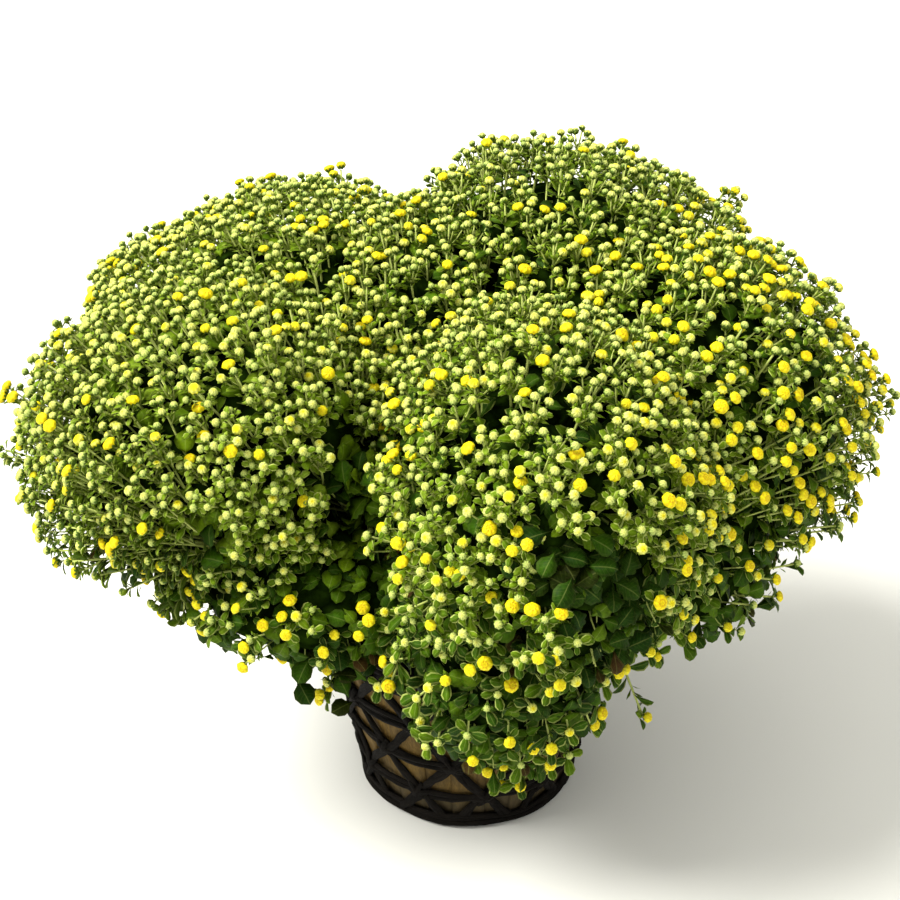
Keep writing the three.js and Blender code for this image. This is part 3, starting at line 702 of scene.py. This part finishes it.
def soil_look(tree):
    """Dark peaty soil with paler fibres and white grains."""
    where = object_place(tree)
    crumbs = cloud(where, 240.0, 6.0, 0.75)
    earth = ramp(crumbs, {0.35: (0.010, 0.006, 0.004), 0.6: (0.045, 0.028, 0.018), 0.8: (0.10, 0.07, 0.05)})
    white = ramp(cells(where, 170.0), {0.05: 1.0, 0.12: 0.0})
    rare = times(white, calc("GREATER_THAN", cloud(where, 120.0), 0.6))
    return blend(rare, earth, (0.6, 0.58, 0.52)), bump(crumbs, 1.0, 0.004)


def floor_look(tree):
    return [ramp(cloud(object_place(tree), 3.0), {0.3: 0.71, 0.7: 0.73})]


LEAF = new_material("leaf", leaf_look, Specular_IOR_Level=0.06)
STEM = new_material("green stem", stem_look, Roughness=0.62, Specular_IOR_Level=0.2)
BUD = new_material("bud", bud_look, Roughness=0.6, Specular_IOR_Level=0.2)
SHADE = new_material("leafy shade", shade_look, Roughness=0.9, Specular_IOR_Level=0.0)
VINE = new_material("vine bark", vine_look, Specular_IOR_Level=0.12)
VENEER = new_material("wood veneer", veneer_look, Specular_IOR_Level=0.15)
DISC_WOOD = new_material("foot disc wood", disc_wood_look, Roughness=0.75)
PLASTIC = new_material("nursery pot plastic", plastic_look)
SOIL = new_material("potting soil", soil_look, Roughness=1.0, Specular_IOR_Level=0.1)
FLOOR = new_material("floor", floor_look, Roughness=0.9)

# ---- growing the mound


def mm_between(low, high, count):
    """A column of random lengths between two that are given in millimetres."""
    return between(low, high, count)[:, None] * MM


def jitter(size, shape):
    return draw.normal(0, size, shape)


def share_below(values, limit, fade):
    """0 where the values lie above a limit, and rising to 1 as they fall below it."""
    return np.clip((limit - values) / fade, 0, 1)


def lumps(ball, seed):
    """Low swellings over a lobe, as a share of its radii."""
    x, y, z = ball.T
    return (0.022 * np.sin(6.1 * x + 2.3 * y + seed) + 0.022 * np.sin(5.3 * y - 3.1 * z + 2.1 * seed)
            + 0.016 * np.sin(8.7 * z + 4.1 * x + 0.7 * seed))


def golden_ball(count):
    """Directions spread evenly over a ball."""
    i = np.arange(count) + 0.5
    up = 1 - 2 * i / count
    flat = np.sqrt(1 - up**2)
    return np.column_stack([flat * np.cos(i * GOLDEN_ANGLE), flat * np.sin(i * GOLDEN_ANGLE), up])


def clusters_of(index, lobe):
    """Where the shoots of a lobe end: tips, the way the lobe faces there, and the lobe's own values."""
    a, b, c = RADII[index]
    pitch = lobe.spacing * MM * math.sqrt(BUDS_IN_CLUSTER)
    count = int(round(TAU * 2 * (a * b + b * c + c * a) / 3 / pitch**2))
    # Low down behind, the shoots stand wider apart.
    ball = np.vstack([golden_ball(count), golden_ball(count // 2)])
    wide = np.arange(len(ball)) >= count
    count = len(ball)
    ball = unit(ball + jitter(0.15 * pitch / RADII[index].mean(), (count, 3)))
    swell = 1.015 + lumps(ball, index) + jitter(0.014, count)
    swell += np.where(draw.random(count) < 0.12, between(0.015, 0.055, count), 0)
    spots = CENTRES[index] + ball * RADII[index] * swell[:, None]
    facing = unit(ball / RADII[index])
    keep = (facing[:, 2] > UNDERSIDE) & is_clear_of_pot(spots, 0.014)
    keep &= (facing @ LOW_BEHIND > BEHIND_LIMIT) == wide
    keep &= level_in_mound(spots, but=index) > OUTERMOST
    for cleft in CLEFTS + BARE:
        keep &= distance_to_line(spots, np.array(cleft.line) * MM) > cleft.half_width * MM
    return spots[keep], facing[keep], np.tile((lobe.spacing, lobe.leaf, lobe.ripe), (keep.sum(), 1))


def all_clusters():
    lobes = list(LOBES.values())
    found = [clusters_of(i, lobe) for i, lobe in enumerate(lobes)]
    shoots = np.vstack([STRAYS, HANGING])
    nearest = np.argmin([level_in(i, shoots) for i in range(len(LOBES))], axis=0)
    own = np.array([(lobes[i].spacing, lobes[i].leaf, 0.9 if tip[2] < 0.2 else 0.4)
                    for i, tip in zip(nearest, shoots)])
    found.append((shoots, unit((shoots - CENTRES[nearest]) / RADII[nearest] ** 2), own))
    return (np.concatenate(part) for part in zip(*found))


tips, facing, own = all_clusters()
tip_x, tip_z = tips[:, 0], tips[:, 2]
top_facing = facing[:, 2]
cluster_count = len(tips)
owner = owner_of(tips)
shaded = share_below(tip_z, BROW + 0.03 * (tip_x > 0.1), BROW_DEPTH)
bud_gap, leaf_length, open_share = own[:, 0] * MM, own[:, 1] * MM * (1 + 0.28 * shaded), own[:, 2]
grow_way = unit(0.45 * unit(tips - CROWN) + 0.5 * facing + 0.36 * UP + jitter(0.09, tips.shape))
# Low on the left the shoots fan out from one place, and lie along the mound with their stems in sight.
fanned = (share_below(np.linalg.norm(tips - FAN, axis=1), FAN_REACH, 0.05) * share_below(tip_x, -0.275, 0.03)
          * (facing[:, 1] < 0.35))
fan_column = fanned[:, None]
grow_way = unit(grow_way * (1 - 0.75 * fan_column) + 0.9 * fan_column * unit(tips - FAN))
# Shoots that hang over the basket come down to their tips, and their buds turn out and up to the light.
outward = unit(tips * [1, 1, 0])
hangs = (tip_z < POT_HEIGHT + 0.03)[:, None]
bud_way = np.where(hangs, unit(outward + 0.45 * UP + jitter(0.12, tips.shape)), grow_way)
grow_way = np.where(hangs, unit(0.35 * outward - 0.8 * UP + jitter(0.09, tips.shape)), grow_way)

growth = {"leaves": [], "buds": []}
FINISHES = {"leaves": [STEM, LEAF, SHADE], "buds": [BUD]}


def grow(part, shape, copies, owners, tone, material=0):
    growth[part].append((shape, copies, np.asarray(owners), tone, material))


def grow_leaves(shape, foot, lie, facing, size, owners, tone, large=None):
    """Leaves of one shape, the large ones with a rounder outline."""
    large = np.zeros(len(foot), bool) if large is None else large
    for kind, these in ((shape, ~large), (ROUND_LEAF, large)):
        grow("leaves", kind, place_copies(kind, foot[these], lie[these], facing[these], size[these]),
             owners[these], tone[these], 1)


def on_curves(curves, t):
    """A point of each curve, and the way that the curve goes there."""
    points, ways = bezier(curves, t[:, None])
    return points[:, 0], ways[:, 0]


def on_twigs(some, below):
    """The same for some of the twigs, at distances before their tips."""
    return on_curves(twigs[some], np.clip(1 - below / length[some], 0.1, 1))


def has_room(spots, placed):
    """Which spots lie clear of the buds placed before, and of the earlier ones in the same list."""
    near_placed = np.linalg.norm(spots[:, None] - placed, axis=2) < BUD_ROOM
    near_each = np.tril(np.linalg.norm(spots[:, None] - spots, axis=2) < BUD_ROOM, -1)
    return ~(near_placed.any(axis=1) | near_each.any(axis=1))


# The twigs, from a woody stem to the middle bud of each cluster.
roots = CROWN + AXES[owner] * between(0.06, 0.15, cluster_count)[:, None]
length = np.linalg.norm(tips - roots, axis=1)
rising = roots + AXES[owner] * 0.3 * length[:, None]
twigs = np.stack([
    roots,
    rising * (1 - fan_column) + (FAN + jitter(0.010, tips.shape)) * fan_column,
    tips - grow_way * (0.42 - 0.12 * fan_column) * length[:, None],
    tips,
], axis=1)
twig_radius = between(1.1, 1.45, cluster_count) * MM
grow("leaves", TWIG, bend_copies(TWIG, twigs, twig_radius * 1.8, twig_radius), owner,
     tones(cluster_count, 0.0))

# The buds of a cluster: one at the end of the twig and the others on stalks round it.
# The upper left faces the bright sky: more buds grow there, and its leaves get painted light, a paler tone.
lit_up_left = share_below(tip_x, -0.1, 0.1) * np.clip(top_facing * 3 + 0.5, 0, 1)
buds_here = np.rint(3.5 + 3.6 * np.clip(top_facing, 0, 1) - (1.2 + 1.2 * (tip_x > -0.1)) * shaded
                    + 1.8 * lit_up_left - fanned + between(-0.8, 0.8, cluster_count))
sunnier = (np.clip((0.54 - tip_z) * 1.5, -0.13, 0.16) * np.where(tip_x > -0.05, 1, 0.2)
           + np.clip(tip_x - 0.08, -0.04, 0.2) * 0.5
           + 0.4 * share_below(np.linalg.norm(tips - YELLOW_NEST, axis=1), 0.08, 0.04)
           + 0.25 * fanned * share_below(tip_z, 0.48, 0.05))
open_share = np.clip(open_share + sunnier + jitter(0.06, cluster_count), 0.02, 0.8)
BUD_STAGES = ((TIGHT_BUD, -1, 0.4), (OPENING_BUD, 0.4, 0.78), (OPEN_BLOOM, 0.78, 2))
placed = np.empty((0, 3))
for j in range(MOST_BUDS):
    some = np.flatnonzero(buds_here > j)
    n = len(some)
    way = bud_way[some]
    turn = j * TAU / np.maximum(buds_here[some] - 1, 1) + between(-0.35, 0.35, n) + owner[some]
    out = square_to(way, turn)
    if j == 0:
        spot = tips[some] + way * mm_between(0, 7, n)
        axis = unit(way + jitter(0.1, (n, 3)))
    else:
        reach = bud_gap[some] * between(0.72, 1.15, n)
        spot = tips[some] + out * reach[:, None] - way * mm_between(-3, 9, n)
        axis = unit(way + 0.3 * out + jitter(0.12, (n, 3)))
    room = has_room(spot, placed)
    some, turn, out, spot, axis = (values[room] for values in (some, turn, out, spot, axis))
    placed = np.vstack([placed, spot])
    n, stem = len(some), owner[some]
    is_open = draw.random(n) < open_share[some]
    ripe = np.clip(np.where(is_open, draw.normal(0.80, 0.13, n), draw.normal(0.29, 0.13, n)), 0.03, 1)
    size = (4.0 + 3.1 * ripe) * MM * between(0.9, 1.1, n)
    for shape, above, up_to in BUD_STAGES:
        these = (ripe > above) & (ripe <= up_to)
        m = these.sum()
        buds = place_copies(shape, spot[these], axis[these], jitter(1, (m, 3)),
                            size[these, None] * [1, 1, 0.92])
        grow("buds", shape, buds, stem[these], tones(m, ripe[these]))
    neck = spot - axis * size[:, None] * 0.7
    # Leaves of low shoots get painted shade, a darker tone, those on the lit upper left get painted light, a
    # paler one, and those in the fan a fresher one.
    shade_light_and_fan_age = 0.36 * shaded[some] - 0.28 * lit_up_left[some] - 0.15 * fanned[some]
    if j:
        below = (between(14, 34, n) + 22 * (1 - np.clip(1.5 * top_facing[some], 0, 1))) * MM
        start, along = on_twigs(some, below)
        span = np.linalg.norm(neck - start, axis=1)[:, None]
        bend = start + (0.2 * along + 0.16 * out) * span
        stalk = np.stack([start, bend, neck - axis * 0.4 * span, neck], axis=1)
        grow("leaves", STALK, bend_copies(STALK, stalk, 1.15 * MM, 0.9 * MM), stem, tones(n, 0.0))
        size_here = leaf_length[some] * between(0.75, 1.2, n)
        lie = unit(out * 0.85 + along * 0.5 + jitter(0.15, (n, 3)))
        grow_leaves(CURLED_LEAF if j % 2 else SPOON_LEAF, start, lie, along + 0.5 * UP, size_here[:, None],
                    stem, tones(n, between(0, 0.55, n) + shade_light_and_fan_age, between(0.3, 1, n)))
    # Three bracts under the bud.
    for k in range(3):
        spread = square_to(axis, turn + k * 2.2 + between(-0.4, 0.4, n))
        foot = neck - axis * mm_between(0, 4, n)
        lie = unit(spread * between(0.6, 1.0, n)[:, None] + axis * 0.6)
        grow_leaves(BRACT, foot, lie, axis, mm_between(6, 10.5, n) * [1.2, 1, 1], stem,
                    tones(n, between(-0.15, 0.3, n) + shade_light_and_fan_age, between(0.5, 1, n)))
    # Where the mound faces sideways each bud sits in a collar of leaves, and on top there are few.
    collar_share = (1.0 - 1.1 * top_facing[some] - 0.4 * shaded[some]
                    - 0.4 * (facing[some] @ LOW_BEHIND > BEHIND_LIMIT))
    for k in range(3):
        collared = draw.random(n) < collar_share
        m, about = collared.sum(), axis[collared]
        spread = square_to(about, turn[collared] + 1.3 + k * TAU / 3 + between(-0.4, 0.4, m))
        foot = (neck - axis * mm_between(2, 9, n))[collared]
        lie = unit(spread + about * between(0.0, 0.5, m)[:, None])
        size_here = leaf_length[some][collared] * between(0.62, 1.0, m)
        grow_leaves(COLLAR_LEAF, foot, lie, about, size_here[:, None] * [1.1, 1, 1], stem[collared],
                    tones(m, between(0.1, 0.6, m) + shade_light_and_fan_age[collared], between(0.4, 1, m)),
                    shaded[some][collared] > 0.3)
    # Narrow young leaves up the stalk.
    for k in range(4 if j else 3):
        part = between(0.2, 0.86, n)
        foot, going = on_curves(stalk, part) if j else on_twigs(some, between(6, 34, n) * MM)
        lie = unit(square_to(going, turn + 2.1 + k * 2.4 + between(-0.5, 0.5, n)) * 0.8 + going * 0.7)
        grow_leaves(BRACT, foot, lie, going, mm_between(8, 15, n) * [0.9, 1, 1], stem,
                    tones(n, between(0, 0.4, n) + shade_light_and_fan_age, between(0.5, 1, n)))

# The leaves along each twig, turned by the golden angle, darker further from the tip as they grow old, with
# painted shade low on the mound and painted light on the lit upper left.
for k in range(7):
    some = np.flatnonzero((shaded > 0.3) | (k < 5))
    n, further = len(some), min(k, 4)
    foot, along = on_twigs(some, (14 + 11 * k + between(-4, 4, n)) * MM)
    out = square_to(along, k * GOLDEN_ANGLE + owner[some] + between(-0.4, 0.4, n))
    lie = unit(out * 0.9 + along * between(0.1, 0.6, n)[:, None])
    size = leaf_length[some] * (1.05 + 0.09 * further) * between(0.8, 1.25, n)
    age_light_and_shade = between(0, 0.5, n) + 0.12 * further + (0.57 * shaded - 0.1 * lit_up_left)[some]
    grow_leaves(SPOON_LEAF if k % 2 else CURLED_LEAF, foot, lie, along + 0.8 * UP,
                size[:, None] * [1.1, 1, 1], owner[some], tones(n, np.clip(age_light_and_shade, 0, 1), between(0.1, 0.9, n)),
                shaded[some] > 0.3)


def inner_leaves(shape, spots, out, size, age_light_and_shade):
    """Leaves deep in the mound, which lie across the way out."""
    n = len(spots)
    lie = unit(square_to(out, between(0, TAU, n)) + 0.35 * out)
    grow_leaves(shape, spots - lie * size[:, None] * 0.5, lie, out + 0.5 * UP, size[:, None], owner_of(spots),
                tones(n, age_light_and_shade, 0.0))


def shell_spots(index, per_area, innermost, outermost):
    """Directions from the middle of a lobe, and spots on them between two shares of its radii."""
    count = int(per_area * np.sum(RADII[index] ** 2))
    ball = unit(jitter(1, (count, 3)))
    return ball, CENTRES[index] + ball * RADII[index] * between(innermost, outermost, count)[:, None]


# Broad leaves inside each lobe, large lobed ones in the clefts between the lobes, and the screens, in the
# dark tones of painted shade, with painted light on those high on the left.
for index in range(len(LOBES)):
    leafier = 2 if CENTRES[index, 2] < LEAFIER_BELOW else 1
    ball, spots = shell_spots(index, INNER_LEAVES * leafier, 0.82, 0.92)
    keep = (level_in_mound(spots) > 0.80) & is_clear_of_pot(spots, 0.025) & (ball[:, 2] > -0.7)
    keep &= (ball @ LOW_BEHIND < 0.3) | (draw.random(len(ball)) > 0.5)
    ball, spots = ball[keep], spots[keep]
    # Inner leaves high on the lit left get painted light, a paler tone.
    lit_left_paler = 0.4 * ((spots[:, 0] < -0.1) & (spots[:, 2] > 0.40))
    inner_leaves(INNER_LEAF, spots, unit(ball / RADII[index]), between(19, 31, len(spots)) * MM,
                 between(0.5, 1.0, len(spots)) - lit_left_paler)
for cleft in CLEFTS:
    line, count = np.array(cleft.line) * MM, cleft.leaves
    part = draw.integers(0, len(line) - 1, count)
    spots = line[part] + (line[part + 1] - line[part]) * draw.random((count, 1))
    out = unit(spots - CROWN)
    depth = mm_between(22, 95, count)
    spots = spots + jitter(max(cleft.half_width, 30) * 0.55 * MM, (count, 3)) - out * depth
    # Cleft leaves take dark tones up to 1, painted shade.
    size, age_light_and_shade = between(22, 36, count) * MM, between(cleft.youngest, 1, count)
    inside = level_in_mound(spots) < 0.99
    inner_leaves(LOBED_LEAF, spots[inside], out[inside], size[inside], age_light_and_shade[inside])
for middle, count in SCREENS.items():
    spots = np.array(middle) * MM + jitter(0.020, (count, 3))
    faces = unit(SCREEN_FACES + jitter(0.2, (count, 3)))
    # Their dark tones are painted shade.
    inner_leaves(INNER_LEAF, spots, faces, between(24, 34, count) * MM, between(0.75, 1.15, count))

# Old leaves that droop under the mound's edge, some withered, their dark tones partly painted shade.
for index in range(len(LOBES)):
    ball, spots = shell_spots(index, OLD_LEAVES, 0.82, 0.99)
    keep = (level_in_mound(spots) > 0.8) & is_clear_of_pot(spots, 0.03)
    keep &= (ball[:, 2] > -0.9) & (ball[:, 2] < -0.25)
    spots, away = spots[keep], unit(ball[keep] * [1, 1, 0.2])
    n, stem = len(spots), owner_of(spots)
    lie = unit(0.7 * away - 0.6 * UP + jitter(0.3, spots.shape))
    size = between(17, 30, n) * MM
    foot = spots - lie * size[:, None] * 0.5
    up_in = unit(UP * 1.4 - away + jitter(0.2, spots.shape))
    stalk = np.stack([foot + up_in * 0.042, foot + up_in * 0.025, foot - lie * 0.008, foot], axis=1)
    grow("leaves", STALK, bend_copies(STALK, stalk, 1.0 * MM, 0.8 * MM), stem, tones(n, 0.1))
    grow_leaves(SPOON_LEAF, foot, lie, away + 0.6 * UP, size[:, None] * [1.3, 1, 1], stem,
                tones(n, between(0.6, 1, n) + 0.5 * (draw.random(n) < 0.25), 0.2))

# The woody stems, from their holes in the soil to the heads of the lobes.
collar = np.column_stack([FEET[:, :2], np.full(len(FEET), CROWN[2] + STEM_UPRIGHT)])
woody = np.stack([FEET, collar, CROWN + AXES * STEM_BEND, HEADS], axis=1)
grow("leaves", WOODY_STEM, bend_copies(WOODY_STEM, woody, 4.6 * MM, 2.2 * MM), np.arange(len(STEMS)),
     tones(len(STEMS), 0.85))


def core_reach(stem, directions):
    """How far a stem's share of the mound reaches from its head, in steps."""
    reach = np.full(len(directions), 0.012)
    going = np.ones(len(directions), bool)
    while going.any():
        spots = HEADS[stem] + directions * (reach + CORE_STEP)[:, None]
        going &= (level_in_mound(spots) < CORE_SHARE) & is_clear_of_pot(spots, 0.03)
        going &= (np.linalg.norm(spots - CROWN, axis=1) > CORE_START) & (owner_of(spots) == stem)
        reach[going] += CORE_STEP
    return reach


# A dark shell in each stem's share of the mound, painted as the shade deep inside the foliage.
ways_out = unit(CORE.points)
for stem, head in enumerate(HEADS):
    reach = core_reach(stem, ways_out) * between(0.88, 1.0, len(ways_out))
    grow("leaves", CORE, (head + ways_out * reach[:, None])[None], [stem], tones(1), 2)


def finish_piece(piece, slot, *nodes):
    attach(piece, "root")
    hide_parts(*nodes)


for stem, name in enumerate(STEMS):
    for part, batches in growth.items():
        chosen = [(shape, copies[owners == stem], tone[owners == stem], material)
                  for shape, copies, owners, tone, material in batches]
        finish_piece(build_piece(f"{name}_{part}", chosen, FINISHES[part]), "foliage", name)

# ---- basket


def roughness_of(points, scale, seed):
    """Smooth noise from -1 to 1 at each point."""
    shift = Vector((seed * 7.31, seed * 3.17, seed * 1.93))
    return np.array([noise.noise(Vector(p) * scale + shift) for p in points])


def on_wall(angle, z, out):
    """Points by their angle, their height and their distance out from the basket's wall."""
    r = wall_radius(z) + out
    return np.stack([r * np.cos(angle), r * np.sin(angle), z], axis=-1)


def lay(batches, shape, path, half_width, half_depth, long, coarse=1.0, seed=None):
    """Lays a rod along a path on the basket's wall: path(t) gives angles, heights and distances out from the
    wall. Its section swells and cracks like bark."""
    seed = between(0, 90) if seed is None else seed
    t, step = shape.points[:, 2], 0.004
    middle = on_wall(*path(t))
    forward = unit(on_wall(*path(t + step)) - on_wall(*path(t - step)))
    across = unit(np.cross(unit(middle * [1, 1, 0]), forward))
    outward = np.cross(forward, across)
    swell = 1 + 0.3 * coarse * roughness_of(middle, 55, seed)
    cracks = 1 + 0.35 * coarse * roughness_of(middle + 0.01 * shape.points, 260, seed + 5)
    x = shape.points[:, 0] * half_width * swell * cracks
    y = shape.points[:, 1] * half_depth * cracks
    grained = shape._replace(place=shape.place * [1, 1, long / half_width / 5] + [seed, 0, 0])
    batches.append((grained, (middle + x[:, None] * across + y[:, None] * outward)[None], tones(1), 0))


STEP = TAU / LATTICE_COLUMNS
TOP_OF_WALL = POT_HEIGHT - RIM_HOOP_HEIGHT
rows = [i * LATTICE_PITCH for i in range(1, LATTICE_ROWS + 1)]
levels = [FOOT_HOOP_HEIGHT + 0.003, *rows, TOP_OF_WALL - 0.004]
strips, bindings = [], []
for column in range(LATTICE_COLUMNS):
    for lean in (-1, 1):
        offsets = draw.normal(0, 0.012, 8)
        for strand in (-1, 1):
            twist, phase = between(1.6, 2.8), between(0, TAU)

            def slanting(t):
                z = levels[0] + (levels[-1] - levels[0]) * t
                wave = twist * TAU * t + phase
                wander = np.interp(t, np.linspace(0, 1, len(offsets)), offsets)
                angle = (column + lean * z / LATTICE_PITCH / 2) * STEP + wander
                angle += 0.0032 * np.sin(wave) * strand / wall_radius(z)
                under_over = lean * np.cos(z / LATTICE_PITCH * math.pi)
                return angle, z, -0.0015 + 0.0012 * under_over + 0.0012 * np.cos(wave) * strand

            lay(strips, STRAND, slanting, *STRIP, 0.26)
for level in levels:
    for strand in range(3):
        turns, phase = draw.integers(5, 9), between(0, TAU)

        def hoop(t):
            wave = turns * TAU * t + phase + strand * 2.1
            sag = 0.0022 * np.sin(wave) + 0.0018 * np.sin(3 * TAU * t + level * 90)
            return TAU * t, level + (strand - 1) * 0.0034 + sag, -0.0012 + 0.0012 * np.cos(wave)

        lay(strips, HOOP_STRAND, hoop, *HOOP, 1.0)
# The bindings over each crossing.
for row, level in enumerate(rows):
    for column in range(LATTICE_COLUMNS):
        middle = (column + (row + 1) % 2 / 2) * STEP + draw.normal(0, 0.012)
        for turn in draw.permutation([0.15, 1.2, 2.25]):
            turn = turn + draw.normal(0, 0.15)
            reach = between(0.013, 0.018)

            def wrap(t):
                s = (t - 0.5) * 2
                angle = middle + s * reach * math.cos(turn) / wall_radius(level)
                return angle, level + s * reach * math.sin(turn), 0.0032 - 0.0052 * s**2

            lay(bindings, BINDING, wrap, *TIE, 0.03, 1.3)
finish_piece(build_piece("basket_lattice_strips", strips, [VINE]), "vine", "basket_lattice")
finish_piece(build_piece("basket_lattice_bindings", bindings, [VINE]), "vine", "basket_lattice")


HOOP_GRAIN = 200


def hoop_of_vines(name, node, rings):
    """A hoop of vines laid side by side and twisted: each is (height, distance out from the wall, half width,
    half depth)."""
    batches = []
    for height, out, half_width, half_depth in rings:
        seed, turns = between(0, 90), draw.integers(4, 8)

        def ring(t):
            wave = turns * TAU * t + seed
            return TAU * t, height + 0.0008 * np.sin(wave), out + 0.0010 * np.cos(wave)

        lay(batches, HOOP_STRAND, ring, half_width, half_depth, HOOP_GRAIN * half_width, 0.6, seed)
    finish_piece(build_piece(name, batches, [VINE]), "vine", node)


hoop_of_vines("foot_hoop_vines", "foot_hoop", [
    (0.0064, -0.019, 0.0045, 0.0058), (0.0062, -0.011, 0.0044, 0.0056), (0.0060, -0.003, 0.0042, 0.0056),
    (0.0108, -0.008, 0.0040, 0.0060), (0.0067, 0.0005, 0.0040, 0.0034)])
hoop_of_vines("rim_hoop_vines", "rim_hoop", [
    (0.2455, -0.007, 0.0052, 0.0050), (0.2455, 0.0015, 0.0052, 0.0046), (0.2405, -0.003, 0.0040, 0.0070),
    (0.2470, -0.003, 0.0042, 0.0072)])

# The veneer lining: upright slats that lap over each other.
slats = []
x, y, depth = SLAT.points.T
for i in range(SLATS):
    z = FOOT_HOOP_HEIGHT + 0.001 + (y + 0.5) * (TOP_OF_WALL - FOOT_HOOP_HEIGHT - 0.002)
    out = -0.0052 + depth * 0.0018 - (i % 2) * 0.0012 + 0.0006 * draw.normal() * x
    angle = (i + x * 1.12) * TAU / SLATS + 0.004 * draw.normal()
    grained = SLAT._replace(place=SLAT.place + [i * 5.3, 0, i * 2.7])
    slats.append((grained, on_wall(angle, z, out)[None], tones(1), 0))
finish_piece(build_piece("basket_lining_slats", slats, [VENEER]), "veneer", "basket_lining")


def model_soil():
    """The bed of soil: crumbly on top, smooth where the nursery pot holds it."""
    top_radius = wall_radius(SOIL_TOP) - SOIL_INSET
    share = (wall_radius(SOIL_BOTTOM) - SOIL_INSET) / top_radius
    bpy.ops.mesh.primitive_cylinder_add(vertices=64, radius=top_radius, depth=SOIL_TOP - SOIL_BOTTOM,
                                        location=(0, 0, (SOIL_TOP + SOIL_BOTTOM) / 2))
    piece = bpy.context.object
    piece.name = "potting_soil_bed"
    bpy.ops.object.transform_apply(location=True)
    is_top = points_of(piece)[:, 2] > 0.1
    push(piece, ~is_top, (share, share, 1), SOIL_BOTTOM)
    pick(piece, is_top)
    for _ in range(SOIL_RINGS):
        bpy.ops.mesh.inset(thickness=top_radius / (SOIL_RINGS + 1), depth=0)
    bpy.ops.object.mode_set(mode="OBJECT")
    co = points_of(piece).astype(float)
    crumbs = 0.004 * roughness_of(co, 90, 3) + 0.003 * roughness_of(co, 260, 9)
    co[:, 2] += np.where((co[:, 2] > 0.1) & (np.hypot(co[:, 0], co[:, 1]) < top_radius * 0.99), crumbs, 0)
    fill(piece.data.vertices, "co", co)
    piece.data.update()
    bpy.ops.object.shade_smooth()
    piece.data.materials.append(SOIL)
    return piece


finish_piece(model_soil(), "soil", "potting_soil")

for node, material in (("nursery_pot", PLASTIC), ("basket_base", DISC_WOOD)):
    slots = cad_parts[node].data.materials
    slots.clear()
    slots.append(material)

# ---- floor, light and camera

bpy.ops.object.select_all(action="DESELECT")
bpy.ops.mesh.primitive_plane_add(size=24)
floor = bpy.context.object
floor.name = "floor"
floor.data.materials.append(FLOOR)

world = bpy.data.worlds.new("studio")
world.use_nodes = True
sky = world.node_tree.nodes["Background"].inputs
sky["Color"].default_value = (1.0, 0.99, 0.88, 1)
sky["Strength"].default_value = 0.33
bpy.context.scene.world = world


def add_daylight(name, energy, spread, source):
    """Light from a disc of the sky: its strength, how wide it is in degrees, and where it comes from."""
    light = bpy.data.lights.new(name, "SUN")
    light.energy = energy
    light.angle = math.radians(spread)
    light.color = (1.0, 0.985, 0.89)
    lamp = bpy.data.objects.new(name, light)
    lamp.rotation_euler = Vector(source).to_track_quat("Z", "Y").to_euler()
    bpy.context.scene.collection.objects.link(lamp)


add_daylight("bright sky on the left", 5.9, 30, (-0.80, -0.08, 1.0))
add_daylight("open sky above", 2.4, 120, (0.0, 0.0, 1.0))

CAMERA_RISE = math.radians(30)
CAMERA_DISTANCE = 1.9
CAMERA_AIM = (-0.022, 0, 0.44)
camera = bpy.data.objects.new("camera", bpy.data.cameras.new("camera"))
camera.data.lens = 68
camera.data.sensor_width = 36
camera.location = (CAMERA_AIM[0], CAMERA_AIM[1] - CAMERA_DISTANCE * math.cos(CAMERA_RISE),
                   CAMERA_AIM[2] + CAMERA_DISTANCE * math.sin(CAMERA_RISE))
camera.rotation_euler = (math.pi / 2 - CAMERA_RISE, 0, 0)
bpy.context.scene.collection.objects.link(camera)
bpy.context.scene.camera = camera
bpy.context.scene.view_settings.view_transform = "Standard"
